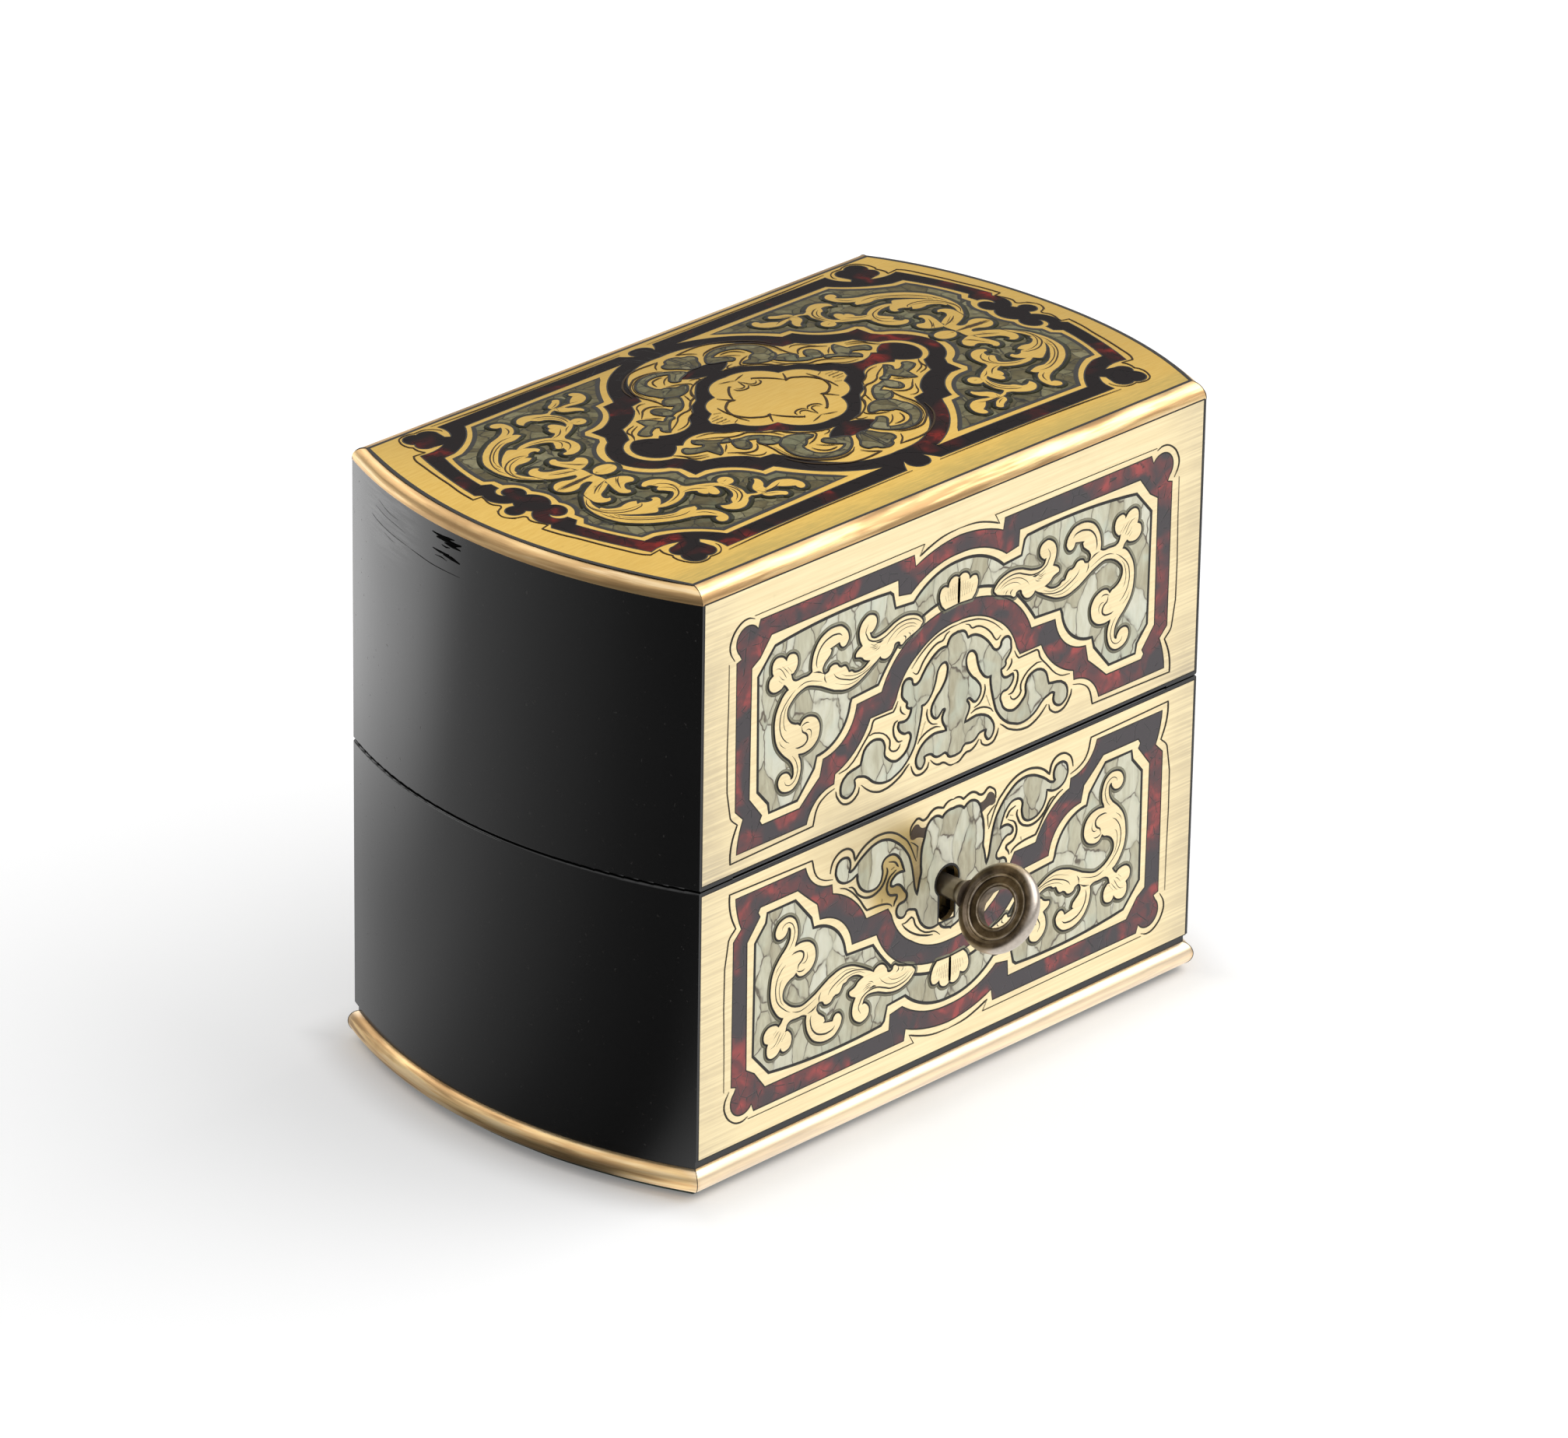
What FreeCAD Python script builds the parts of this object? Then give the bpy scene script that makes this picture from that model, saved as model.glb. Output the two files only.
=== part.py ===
"""Perfume box: a hinged-lid coffer with bowed ends, brass and shell marquetry on the
front and the domed top, brass mouldings, a box lock with its key, and two bottles.

Millimetres. +X runs along the front, -Y is the front, +Z is up. The origin is at the
middle of the underside, on the surface that the box stands on.
"""
import FreeCAD, Part
import math
import os

V = FreeCAD.Vector

# Outer form
front_length = 125.0
depth = 84.3
bow = 9.4                       # how far each end bulges past its corners
felt_thickness = 1.2
foot_moulding_height = 4.4
recess_height = 1.7             # black step between foot moulding and front plate
base_panel_height = 50.3
lid_panel_height = 52.2
rim_lip = 0.7                   # black rim that shows past each front plate at the seam
seam_gap = 0.3
crown_height = 2.7              # top moulding, above the front plate
dome_rise = 2.3                 # rise of the lid's top at its middle

# Walls
marquetry_thickness = 1.0
wall = 7.0                      # front and back boards
end_wall = 8.0                  # end boards, at the corners
corner_lip = 0.5                # end board's edge beside the front plate
top_board_thickness = 7.0
rim_round = 0.35

# Mouldings
foot_inset = 0.6                # bottom board, inside the body
foot_projection = 1.05          # foot moulding, outside the body
crown_inset_front = 3.1
crown_inset_end = 2.0
felt_inset = 1.0

# Keyhole and lock
key_x = -1.2
key_height = 31.5               # key's axis above the front plate's lower edge
keyhole_radius = 3.0
keyhole_rise = 1.0              # round of the keyhole above the key's axis
keyhole_slot_half = 2.1
keyhole_slot_drop = 6.7
lock_half_width = 17.0
lock_ear = 3.2
lock_below_key = 8.0
lock_plate = 0.9
lock_cavity = 3.4
lock_cap_thickness = 0.7
lock_wall = 0.8
selvedge_thickness = 1.2
bolt_travel = 3.5
bolt_thickness = 1.4
bolt_end_gap = 1.2
strike_front = 2.6              # strike plate, in front of the lock's middle plane
strike_screw_inset = 3.0
staple_spacing = 14.0
staple_offset = 2.0             # middle of the staples, right of the key
staple_thickness = 1.2
staple_width = 2.8
staple_drop = 6.5
lock_screw_radius = 0.7
lock_screw_length = 4.5
screw_tip_gap = 0.5             # hole past the screw's tip

# Key
shank_radius = 2.05
key_reach = 12.4                # middle of the bow, in front of the front plate
bow_radius = 8.15
bow_hole_radius = 3.7
bow_rim = 1.55                  # half thickness of the bow's rim
bow_web = 0.8                   # half thickness between the rim and the hole's lip
bow_turn = 34.0                 # degrees from the bit's plane to the bow's
bit_radius = 6.2
bit_half = 0.8
bit_length = 2.4
drill_pin_radius = 0.9
running_gap = 0.05

# Hinges
hinge_x = 34.0
hinge_length = 24.0
leaf_thickness = 1.0
leaf_depth = 6.0
knuckle_radius = 1.7
knuckle_out = 0.9               # axis behind the back face
lid_opening = 98.0              # degrees, where the stop lug meets the back face
stop_lug_length = 3.4           # from the axis
stop_gap = 0.05
hinge_pin_radius = 0.75
hinge_screw_radius = 0.7
screw_head_radius = 1.35

# Inside
well_size = 44.0
well_spacing = 54.0
well_wall = 1.2
tray_board_thickness = 3.0
tray_below_rim = 4.3
pad_thickness = 3.0
ceiling_pad_thickness = 2.5
lining_thickness = 0.8
lining_gap = 0.3
lining_above_rim = 4.0

# Bottles
bottle_gap = 1.5                # bottle to well wall, each side
bottle_corner = 6.0
bottle_body = 45.3
bottle_wall = 3.0
shoulder_height = 6.0
neck_radius = 8.0
neck_height = 7.0
lip_radius = 11.0
lip_height = 2.0
plug_radius = 5.0
plug_taper = 0.7
plug_length = 9.0
plug_gap = 0.03
knob_radius = 11.0
knob_height = 14.0

# Marquetry of the front plates: half outlines, mirrored about the middle. Each is x from
# the middle and height from the seam. Two numbers are a straight run to that point, four
# are an arc through the first point to the second.
front_band_outer = [
    (0, 45.65), (-5.6, 44.95, -10.9, 43.2), (-11.3, 45.4), (-48.6, 45.4), (-49.2, 43.9),
    (-53.6, 44.2, -53.5, 40.4), (-53.0, 39.4), (-54.2, 39.0), (-54.1, 11.4), (-52.2, 9.5),
    (-53.2, 6.5, -53.7, 3.3), (-36.7, 3.3), (-34.7, 6.8, -30.1, 8.7), (-29.9, 10.5),
    (-25.0, 13.3, -21.4, 18.2), (-16.0, 18.2), (-15.1, 19.7), (-13.3, 23.4, -9.9, 26.5),
    (-5.3, 28.9, 0, 29.6)]
front_band_inner = [
    (0, 42.3), (-6.4, 41.4, -11.9, 38.5), (-14.9, 39.0), (-15.1, 42.0), (-45.9, 41.8),
    (-48.6, 38.3), (-50.6, 37.0), (-50.8, 12.6), (-47.7, 8.7), (-48.2, 7.8), (-47.6, 6.9),
    (-38.5, 6.9), (-36.4, 8.8, -33.6, 11.2), (-32.9, 14.3), (-27.6, 16.5, -24.8, 21.9),
    (-18.7, 22.2), (-16.0, 26.7, -12.4, 29.8), (-6.6, 32.1, 0, 32.8)]
front_ground = [
    (0, 40.9), (-6.0, 39.9, -11.2, 36.6), (-15.7, 36.95), (-16.4, 39.7), (-17.1, 40.3),
    (-31.0, 40.6, -45.0, 39.4), (-49.0, 34.9), (-48.8, 13.4), (-46.2, 10.4), (-45.9, 8.6),
    (-39.1, 8.6), (-35.1, 13.3), (-34.5, 15.4), (-29.1, 17.6, -26.5, 22.6), (-26.1, 23.5),
    (-19.6, 23.9), (-17.5, 26.8, -15.1, 29.5), (-8.3, 33.5, 0, 34.6)]

# Marquetry of the top: distances from the middle of the pattern, towards an end and
# towards the front. The first four are quarter outlines. The last two lie at one end and
# are mirrored about the pattern's long axis.
top_pattern_x = 0.9
top_pattern_y = 2.2
top_band_outer = [
    (0, 35.2), (1.75, 34.7, 2.45, 33.1), (2.2, 32.1), (3.3, 33.3), (4.2, 34.7),
    (48.0, 34.9), (48.4, 31.6, 49.6, 29.9), (50.4, 30.7), (49.8, 33.3),
    (50.6, 34.9, 52.9, 35.0), (55.6, 35.5, 56.1, 32.0), (56.6, 29.9, 54.8, 28.9),
    (52.8, 28.4), (55.5, 27.5, 58.9, 27.8), (61.8, 19.0, 64.0, 9.2), (63.1, 8.3),
    (63.75, 5.4, 61.7, 2.4), (62.4, 1.35), (64.2, 1.6, 65.25, 0)]
top_cartouche = [
    (0, 28.7), (9.3, 26.8, 15.1, 20.9), (17.5, 15.9), (20.2, 15.5), (21.4, 13.6),
    (24.6, 11.1, 28.5, 9.5), (29.5, 7.5), (30.9, 5.5), (34.2, 3.6, 35.5, 0)]
top_inner_band = [
    (0, 19.9), (2.6, 19.6), (5.7, 17.9), (4.0, 16.5, 1.6, 15.5), (5.3, 14.5),
    (7.9, 12.3, 11.1, 8.9), (13.3, 7.8), (15.1, 5.7), (17.3, 4.5), (18.7, 2.6),
    (22.4, 1.3, 26.2, 2.8), (27.1, 2.1), (28.6, 3.5, 30.7, 4.5), (33.4, 2.5, 34.2, 0)]
top_plaque = [
    (0, 12.8), (5.6, 11.3, 7.9, 7.6), (11.7, 6.1, 13.4, 3.0), (15.6, 1.7), (16.4, 0)]
top_fillet = [
    (56.5, 0), (56.9, 1.6, 58.05, 2.95), (57.0, 5.2, 58.8, 7.25), (60.1, 6.8, 60.6, 5.35),
    (60.85, 5.5), (61.1, 7.0, 59.3, 8.3), (59.1, 10.3), (60.5, 11.4),
    (59.4, 16.6, 56.8, 24.1), (54.3, 24.2), (49.2, 26.8, 44.7, 31.6), (6.6, 31.4),
    (13.9, 27.6, 20.2, 20.2), (20.9, 19.2), (23.4, 19.2), (26.1, 15.0, 30.6, 12.4),
    (32.9, 12.5), (32.9, 9.2), (34.1, 7.4), (37.3, 4.6, 38.9, 0)]
top_ground = [
    (55.05, 0), (55.4, 1.9, 56.0, 3.3), (55.8, 6.2, 57.6, 8.8), (57.5, 10.9),
    (58.8, 12.2), (57.8, 17.2, 55.9, 22.5), (53.6, 22.6), (48.3, 25.6, 44.1, 30.1),
    (14.0, 29.8), (18.2, 25.9, 22.0, 21.0), (24.4, 20.8), (27.2, 16.1, 31.5, 14.1),
    (33.6, 14.0), (34.9, 12.6), (34.5, 9.6), (35.1, 8.9), (38.9, 5.7, 40.4, 0)]

# Levels and planes that follow
half_length = front_length / 2
bottle_width = well_size - 2 * bottle_gap
half_depth = depth / 2
bow_radius_plan = (half_depth**2 + bow**2) / (2 * bow)
bow_centre = half_length + bow - bow_radius_plan
foot_top = felt_thickness + foot_moulding_height
floor_z = foot_top + recess_height
base_plate_top = floor_z + base_panel_height
base_rim = base_plate_top + rim_lip
lid_rim = base_rim + seam_gap
lid_plate_bottom = lid_rim + rim_lip
crown_bottom = lid_plate_bottom + lid_panel_height
top_edge = crown_bottom + crown_height
ceiling = crown_bottom - top_board_thickness
front_face = -half_depth
front_board_outer = front_face + marquetry_thickness
front_board_inner = front_board_outer + wall
back_board_inner = half_depth - wall
end_inner = half_length - end_wall
hinge_y = half_depth + knuckle_out
hinge_z = base_rim + seam_gap / 2
key_z = floor_z + key_height
lock_back = front_board_inner
lock_cavity_back = lock_back - lock_plate
lock_cavity_front = lock_cavity_back - lock_cavity
lock_front = lock_cavity_front - lock_cap_thickness
lock_middle = lock_cavity_back - lock_cavity / 2 + 0.25
lock_bottom = key_z - lock_below_key
selvedge_bottom = base_rim - selvedge_thickness


def box(x0, x1, y0, y1, z0, z1):
    return Part.makeBox(x1 - x0, y1 - y0, z1 - z0, V(x0, y0, z0))


def drum(radius, x, y, z, length, direction):
    return Part.makeCylinder(radius, length, V(x, y, z), V(*direction))


def wire(path):
    """A closed wire from a path of straight runs and arcs."""
    edges = []
    here = V(*path[0], 0)
    for step in path[1:] + [path[0]]:
        there = V(step[-2], step[-1], 0)
        if (there - here).Length > 1e-6:
            if len(step) == 4:
                edges.append(Part.Arc(here, V(step[0], step[1], 0), there).toShape())
            else:
                edges.append(Part.makeLine(here, there))
        here = there
    return Part.Wire(edges)


def backwards(path):
    points = [path[0]] + [step[-2:] for step in path[1:]]
    turned = [points[-1]]
    for i in range(len(path) - 1, 0, -1):
        turned.append(tuple(path[i][:-2]) + tuple(points[i - 1]))
    return turned


def flipped(path, sx, sy):
    signs = (sx, sy)
    return [tuple(value * signs[i % 2] for i, value in enumerate(step)) for step in path]


def shifted(path, dx, dy):
    moves = (dx, dy)
    return [tuple(value + moves[i % 2] for i, value in enumerate(step)) for step in path]


def joined(first, second):
    """One path from two that meet at an end."""
    return first + second[1:]


def closed_about_x(half):
    return joined(half, backwards(flipped(half, -1, 1)))


def closed_about_y(half):
    return joined(half, backwards(flipped(half, 1, -1)))


def closed_quarter(quarter):
    half = joined(flipped(backwards(quarter), -1, 1), quarter)
    return joined(half, backwards(flipped(half, 1, -1)))


def prism(path, z0, z1):
    face = Part.Face(wire(path))
    face.translate(V(0, 0, z0))
    return face.extrude(V(0, 0, z1 - z0))


def body_outline(inset_front, inset_end):
    """Plan of the box: straight front and back, round ends, moved inwards."""
    y = half_depth - inset_front
    radius = bow_radius_plan - inset_end
    x = bow_centre + math.sqrt(radius**2 - y**2)
    tip = bow_centre + radius
    return [(-x, -y), (x, -y), (tip, 0, x, y), (-x, y), (-tip, 0, -x, -y)]


def body_prism(inset_front, inset_end, z0, z1):
    return prism(body_outline(inset_front, inset_end), z0, z1)


def fillet_edges(solid, radius, wanted):
    edges = [edge for edge in solid.Edges if wanted(edge)]
    return solid.makeFillet(radius, edges) if edges else solid


def group(solids):
    flat = []
    for solid in solids:
        flat += solid.Solids
    return Part.makeCompound(flat) if len(flat) > 1 else flat[0]


# Boards of the two halves

def front_board(z0, z1, lip_z0, lip_z1, rim_z):
    """Front board, with the black lip that shows at the seam beside its plate."""
    board = box(-end_inner, end_inner, front_board_outer, front_board_inner, z0, z1)
    lip = box(-end_inner, end_inner, front_face, front_board_outer, lip_z0, lip_z1)
    solid = board.fuse(lip).removeSplitter()
    return fillet_edges(solid, rim_round, lambda e: at_rim(e, rim_z) and e.BoundBox.YMax
                        < front_face + 0.01)


def back_board(z0, z1, rim_z):
    board = box(-end_inner, end_inner, back_board_inner, half_depth, z0, z1)
    return fillet_edges(board, rim_round, lambda e: at_rim(e, rim_z) and e.BoundBox.YMin
                        > half_depth - 0.01)


def at_rim(edge, rim_z):
    bounds = edge.BoundBox
    return abs(bounds.ZMin - rim_z) < 0.01 and abs(bounds.ZMax - rim_z) < 0.01


def end_board(side, z0, z1, plate_z0, plate_z1, rim_z):
    """Bowed end board, rabbeted at its front corner for the end of the front plate."""
    board = body_prism(0, 0, z0, z1)
    board = board.common(box(end_inner, 2 * half_length, -half_depth, half_depth, z0, z1))
    rabbet = box(end_inner, half_length - corner_lip, front_face, front_board_outer,
                 plate_z0, plate_z1)
    board = board.cut(rabbet)
    board = fillet_edges(board, rim_round, lambda e: at_rim(e, rim_z)
                         and e.BoundBox.XMax > half_length + 1)
    return board if side > 0 else mirrored_x(board)


def mirrored_x(solid):
    return solid.mirror(V(0, 0, 0), V(1, 0, 0))


def keyhole(y0, y1):
    """Round with a slot below it, through y0 to y1."""
    length = y1 - y0
    hole = drum(keyhole_radius, key_x, y0, key_z + keyhole_rise, length, (0, 1, 0))
    slot_bottom = key_z - keyhole_slot_drop
    slot = box(key_x - keyhole_slot_half, key_x + keyhole_slot_half, y0, y1,
               slot_bottom + keyhole_slot_half / 2, key_z)
    toe = drum(keyhole_slot_half, key_x, y0, slot_bottom + keyhole_slot_half, length,
               (0, 1, 0))
    return hole.fuse([slot, toe])


# Marquetry

def stood_up(solid):
    """From plan, where y is height, to the upright front with its face at front_face."""
    turned = solid.copy()
    turned.rotate(V(0, 0, 0), V(1, 0, 0), 90)
    turned.translate(V(0, front_board_outer, 0))
    return turned


def front_marquetry(seam_z, up, z0, z1):
    """Brass, tortoiseshell and pearl of one front plate, seam edge at seam_z."""
    def piece(half):
        path = shifted(flipped(closed_about_x(half), 1, up), 0, seam_z)
        return stood_up(prism(path, 0, marquetry_thickness))

    half_plate = half_length - corner_lip
    plate = box(-half_plate, half_plate, front_face, front_board_outer, z0, z1)
    outer = piece(front_band_outer)
    inner = piece(front_band_inner)
    ground = piece(front_ground)
    field = plate.cut(outer)
    band = outer.cut(inner)
    fillet = inner.cut(ground)
    return field, fillet, band, ground


def dome_slab(top_z, thickness):
    """A domed slab. Its upper face is a parabola both ways: at top_z along the edges of
    the top plate, dome_rise higher in the middle, and carried on past the edges."""
    span_x = half_length + bow - crown_inset_end
    span_y = half_depth - crown_inset_front
    past = 1.1
    ends, middle = 1 - past**2, 1 + past**2
    surface = Part.BezierSurface()
    surface.increase(2, 2)
    for i, (x, rise_x) in enumerate(((-1, ends), (0, middle), (1, ends))):
        for j, (y, rise_y) in enumerate(((-1, ends), (0, middle), (1, ends))):
            pole = V(x * past * span_x, y * past * span_y,
                     top_z + dome_rise * rise_x * rise_y)
            surface.setPole(i + 1, j + 1, pole)
    face = surface.toShape()
    face.translate(V(0, 0, -thickness))
    return face.extrude(V(0, 0, thickness))


def top_marquetry():
    slab = dome_slab(top_edge, marquetry_thickness)
    low = top_edge - marquetry_thickness - 1
    high = top_edge + dome_rise + 1

    def piece(path):
        placed = shifted(path, top_pattern_x, top_pattern_y)
        return prism(placed, low, high)

    def at_ends(half):
        one = closed_about_y(half)
        return [piece(one), piece(flipped(one, -1, 1))]

    plate = prism(body_outline(crown_inset_front, crown_inset_end), low, high)
    outer = piece(closed_quarter(top_band_outer))
    cartouche = piece(closed_quarter(top_cartouche))
    inner_band = piece(closed_quarter(top_inner_band))
    plaque = piece(closed_quarter(top_plaque))
    fillets = at_ends(top_fillet)
    grounds = at_ends(top_ground)
    brass = [plate.cut(outer), cartouche.cut(inner_band), plaque]
    brass += [fillet.cut(ground) for fillet, ground in zip(fillets, grounds)]
    shell = [outer.cut(fillets + [cartouche]), inner_band.cut(plaque)]
    return [[solid.common(slab) for solid in part] for part in (brass, shell, grounds)]


# Mouldings

def wedge_front(outer, inner, z0, z1):
    """The part of the plan that a front moulding may fill, cut along both mitres."""
    run = (inner[0] - outer[0]) / (inner[1] - outer[1])
    far = -1.5 * half_depth
    near = -half_depth / 2
    x_far = outer[0] + run * (far - outer[1])
    x_near = outer[0] + run * (near - outer[1])
    return prism([(-x_far, far), (x_far, far), (x_near, near), (-x_near, near)], z0, z1)


def wedge_end(outer, inner, z0, z1):
    run = (inner[0] - outer[0]) / (inner[1] - outer[1])
    far = 1.5 * half_depth
    near = half_depth / 2
    x_far = outer[0] + run * (-far - outer[1])
    x_near = outer[0] + run * (-near - outer[1])
    reach = 2 * half_length
    return prism([(x_near, -near), (x_far, -far), (reach, -far), (reach, far),
                  (x_far, far), (x_near, near)], z0, z1)


def corner(inset_front, inset_end):
    x, y = body_outline(inset_front, inset_end)[1]
    return x, y


def moulding_set(section_front, section_end, outer, inner, z0, z1):
    """Four mitred mouldings. A section is (distance out from the body, height)."""
    def face(section, turn):
        points = [V(*turn(step[-2], step[-1])) for step in section]
        edges = []
        for i in range(1, len(section)):
            if len(section[i]) == 4:
                middle = V(*turn(section[i][0], section[i][1]))
                edges.append(Part.Arc(points[i - 1], middle, points[i]).toShape())
            else:
                edges.append(Part.makeLine(points[i - 1], points[i]))
        edges.append(Part.makeLine(points[-1], points[0]))
        return Part.Face(Part.Wire(edges))

    reach = 2 * half_length
    straight = face(section_front, lambda out, z: (-reach, -half_depth - out, z))
    straight = straight.extrude(V(2 * reach, 0, 0))
    front = straight.common(wedge_front(outer, inner, z0, z1))
    back = front.mirror(V(0, 0, 0), V(0, 1, 0))
    round_face = face(section_end,
                      lambda out, z: (bow_centre + bow_radius_plan + out, 0, z))
    half_angle = math.degrees(math.asin(half_depth / bow_radius_plan)) + 6
    round_face.rotate(V(bow_centre, 0, 0), V(0, 0, 1), -half_angle)
    swept = round_face.revolve(V(bow_centre, 0, 0), V(0, 0, 1), 2 * half_angle)
    right = swept.common(wedge_end(outer, inner, z0, z1))
    left = mirrored_x(right)
    return {"front": front, "back": back, "left": left, "right": right}


def foot_mouldings():
    middle = felt_thickness + foot_moulding_height / 2
    section = [(-foot_inset, felt_thickness),
               (foot_projection, middle, -foot_inset, foot_top)]
    outer = corner(-foot_projection, -foot_projection)
    inner = corner(foot_inset, foot_inset)
    return moulding_set(section, section, outer, inner, 0, foot_top + 1)


def crown_mouldings():
    def section(inset):
        lean = 1 - math.sqrt(0.5)
        return [(0, crown_bottom),
                (-inset * lean, crown_bottom + crown_height * (1 - lean),
                 -inset, top_edge),
                (-inset, crown_bottom)]
    outer = corner(0, 0)
    inner = corner(crown_inset_front, crown_inset_end)
    return moulding_set(section(crown_inset_front), section(crown_inset_end), outer,
                        inner, crown_bottom - 1, top_edge + 1)


# Hinges

def screw(x, y, z, length, direction, radius, head):
    """Countersunk screw, head flush at the given point, slotted."""
    axis = V(*direction)
    cone = Part.makeCone(head, radius, head - radius, V(x, y, z), axis)
    stem = Part.makeCylinder(radius, length, V(x, y, z), axis)
    solid = cone.fuse(stem).removeSplitter()
    return solid


def slotted(solid, x, y, z, direction, head):
    width = 0.16 * head
    deep = 0.25 * head
    if direction[2]:
        slot = box(x - head, x + head, y - width, y + width, z - deep, z + deep)
    else:
        slot = box(x - head, x + head, y - deep, y + deep, z - width, z + width)
    return solid.cut(slot)


def hinge_screw_places():
    pitch = hinge_length / 3
    rows = []
    for side in (-1, 1):
        for i in (-1, 0, 1):
            rows.append((side * hinge_x + i * pitch, half_depth - wall / 2 - i * i * 0.8))
    return rows


hinge_screw_length = 6.0


def hinge_leaf(centre, upper):
    """One leaf with its knuckles. The base leaf has the outer two, the lid's the middle."""
    x0 = centre - hinge_length / 2
    third = hinge_length / 3
    z0, z1 = (lid_rim, lid_rim + leaf_thickness) if upper else (base_rim - leaf_thickness,
                                                                base_rim)
    leaf = box(x0, x0 + hinge_length, half_depth - leaf_depth, hinge_y, z0, z1)
    bore = hinge_pin_radius + (running_gap if upper else 0)
    mine = (1,) if upper else (0, 2)
    gap = running_gap
    for i in range(3):
        start = x0 + i * third
        if i not in mine:
            leaf = leaf.cut(drum(knuckle_radius + 0.15, start - gap, hinge_y, hinge_z,
                                 third + 2 * gap, (1, 0, 0)))
    for i in mine:
        trim_start = gap if i > 0 else 0
        trim_end = gap if i < 2 else 0
        leaf = leaf.fuse(drum(knuckle_radius, x0 + i * third + trim_start, hinge_y,
                              hinge_z, third - trim_start - trim_end, (1, 0, 0)))
    leaf = leaf.cut(drum(bore, x0 - 1, hinge_y, hinge_z, hinge_length + 2, (1, 0, 0)))
    opposite = box(x0 - 1, x0 + hinge_length + 1, half_depth - leaf_depth - 1,
                   hinge_y - knuckle_radius, z1, z1 + 5) if not upper else box(
                   x0 - 1, x0 + hinge_length + 1, half_depth - leaf_depth - 1,
                   hinge_y - knuckle_radius, z0 - 5, z0)
    leaf = leaf.cut(opposite)
    if upper:
        leaf = leaf.fuse(stop_lug(x0 + third + gap, third - 2 * gap).cut(
            drum(bore, x0, hinge_y, hinge_z, hinge_length, (1, 0, 0))))
    return leaf.removeSplitter()


def stop_lug(x, width):
    """Lug on the lid's knuckle. Its lower face meets the back when the lid is open."""
    half = (knuckle_out - stop_gap) / math.cos(math.radians(lid_opening - 90))
    half -= stop_lug_length * math.tan(math.radians(lid_opening - 90))
    lug = box(x, x + width, hinge_y, hinge_y + stop_lug_length, hinge_z - half,
              hinge_z + knuckle_radius * 0.4)
    return lug


def hinge_mortise(centre, upper):
    x0 = centre - hinge_length / 2
    z0, z1 = (lid_rim - 1, lid_rim + leaf_thickness) if upper else (
        base_rim - leaf_thickness, base_rim + 1)
    bed = box(x0, x0 + hinge_length, half_depth - leaf_depth, half_depth + 1, z0, z1)
    room = drum(knuckle_radius + 0.2, x0, hinge_y, hinge_z, hinge_length, (1, 0, 0))
    return bed.fuse(room)


# Lock

def lock_case():
    """Back plate with ears, a rim on three sides, rails and pads that guide the bolt."""
    x0, x1 = key_x - lock_half_width, key_x + lock_half_width
    plate = box(x0 - lock_ear, x1 + lock_ear, lock_cavity_back, lock_back, lock_bottom,
                selvedge_bottom)
    rim = box(x0, x1, lock_cavity_front, lock_cavity_back, lock_bottom, selvedge_bottom)
    rim = rim.cut(box(x0 + lock_wall, x1 - lock_wall, lock_cavity_front, lock_cavity_back,
                      lock_bottom + lock_wall, selvedge_bottom))
    case = plate.fuse(rim)
    rail_top = bolt_bottom() - running_gap
    for side in (-1, 1):
        rail_start = key_x + side * (bit_radius + 3.2) - 2
        case = case.fuse(box(rail_start, rail_start + 4, lock_middle - bolt_thickness / 2,
                             lock_cavity_back, rail_top - 1.6, rail_top))
        case = case.fuse(box(rail_start, rail_start + 4,
                             lock_middle + bolt_thickness / 2 + running_gap,
                             lock_cavity_back, rail_top, rail_top + 5))
    case = case.cut(drum(drill_pin_radius + running_gap, key_x, lock_front, key_z,
                         2 * lock_cavity + 5, (0, 1, 0)))
    for x, z in lock_screw_places():
        case = case.cut(lock_screw_cutter(x, z))
    return case.removeSplitter()


def lock_screw_cutter(x, z):
    return screw(x, lock_back, z, lock_screw_length + screw_tip_gap, (0, -1, 0),
                 lock_screw_radius, screw_head_radius)


def lock_screw_places():
    x = lock_half_width + lock_ear / 2 + 0.1
    low = lock_bottom + 4
    high = selvedge_bottom - 5
    return [(key_x + side * x, z) for side in (-1, 1) for z in (low, high)]


def lock_cap():
    cap = box(key_x - lock_half_width, key_x + lock_half_width, lock_front,
              lock_cavity_front, lock_bottom, selvedge_bottom)
    hole = drum(shank_radius + running_gap, key_x, lock_front, key_z,
                lock_cap_thickness, (0, 1, 0))
    slot = box(key_x - bit_half - 0.3, key_x + bit_half + 0.3, lock_front,
               lock_cavity_front, key_z - bit_radius - 0.3, key_z)
    return cap.cut(hole.fuse(slot))


def staple_places():
    return [key_x + staple_offset - staple_spacing / 2,
            key_x + staple_offset + staple_spacing / 2]


def lock_selvedge():
    """Top plate of the lock, flush with the rim, slotted for the two staples."""
    half = lock_half_width + lock_ear
    plate = box(key_x - half, key_x + half, lock_front, lock_back, selvedge_bottom,
                base_rim)
    for x in staple_places():
        plate = plate.cut(box(x - staple_thickness / 2 - 0.3, x + staple_thickness / 2
                              + 0.3, lock_middle - staple_width / 2 - 0.5,
                              lock_middle + staple_width / 2 + 0.3, selvedge_bottom,
                              base_rim))
    return plate


def lock_mortise():
    x0, x1 = key_x - lock_half_width, key_x + lock_half_width
    room = box(x0, x1, lock_front, lock_back, lock_bottom, base_rim)
    ears = box(x0 - lock_ear, x1 + lock_ear, lock_cavity_back, lock_back, lock_bottom,
               selvedge_bottom)
    ledge = box(x0 - lock_ear, x1 + lock_ear, lock_front, lock_back, selvedge_bottom,
                base_rim)
    return room.fuse([ears, ledge])


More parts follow.
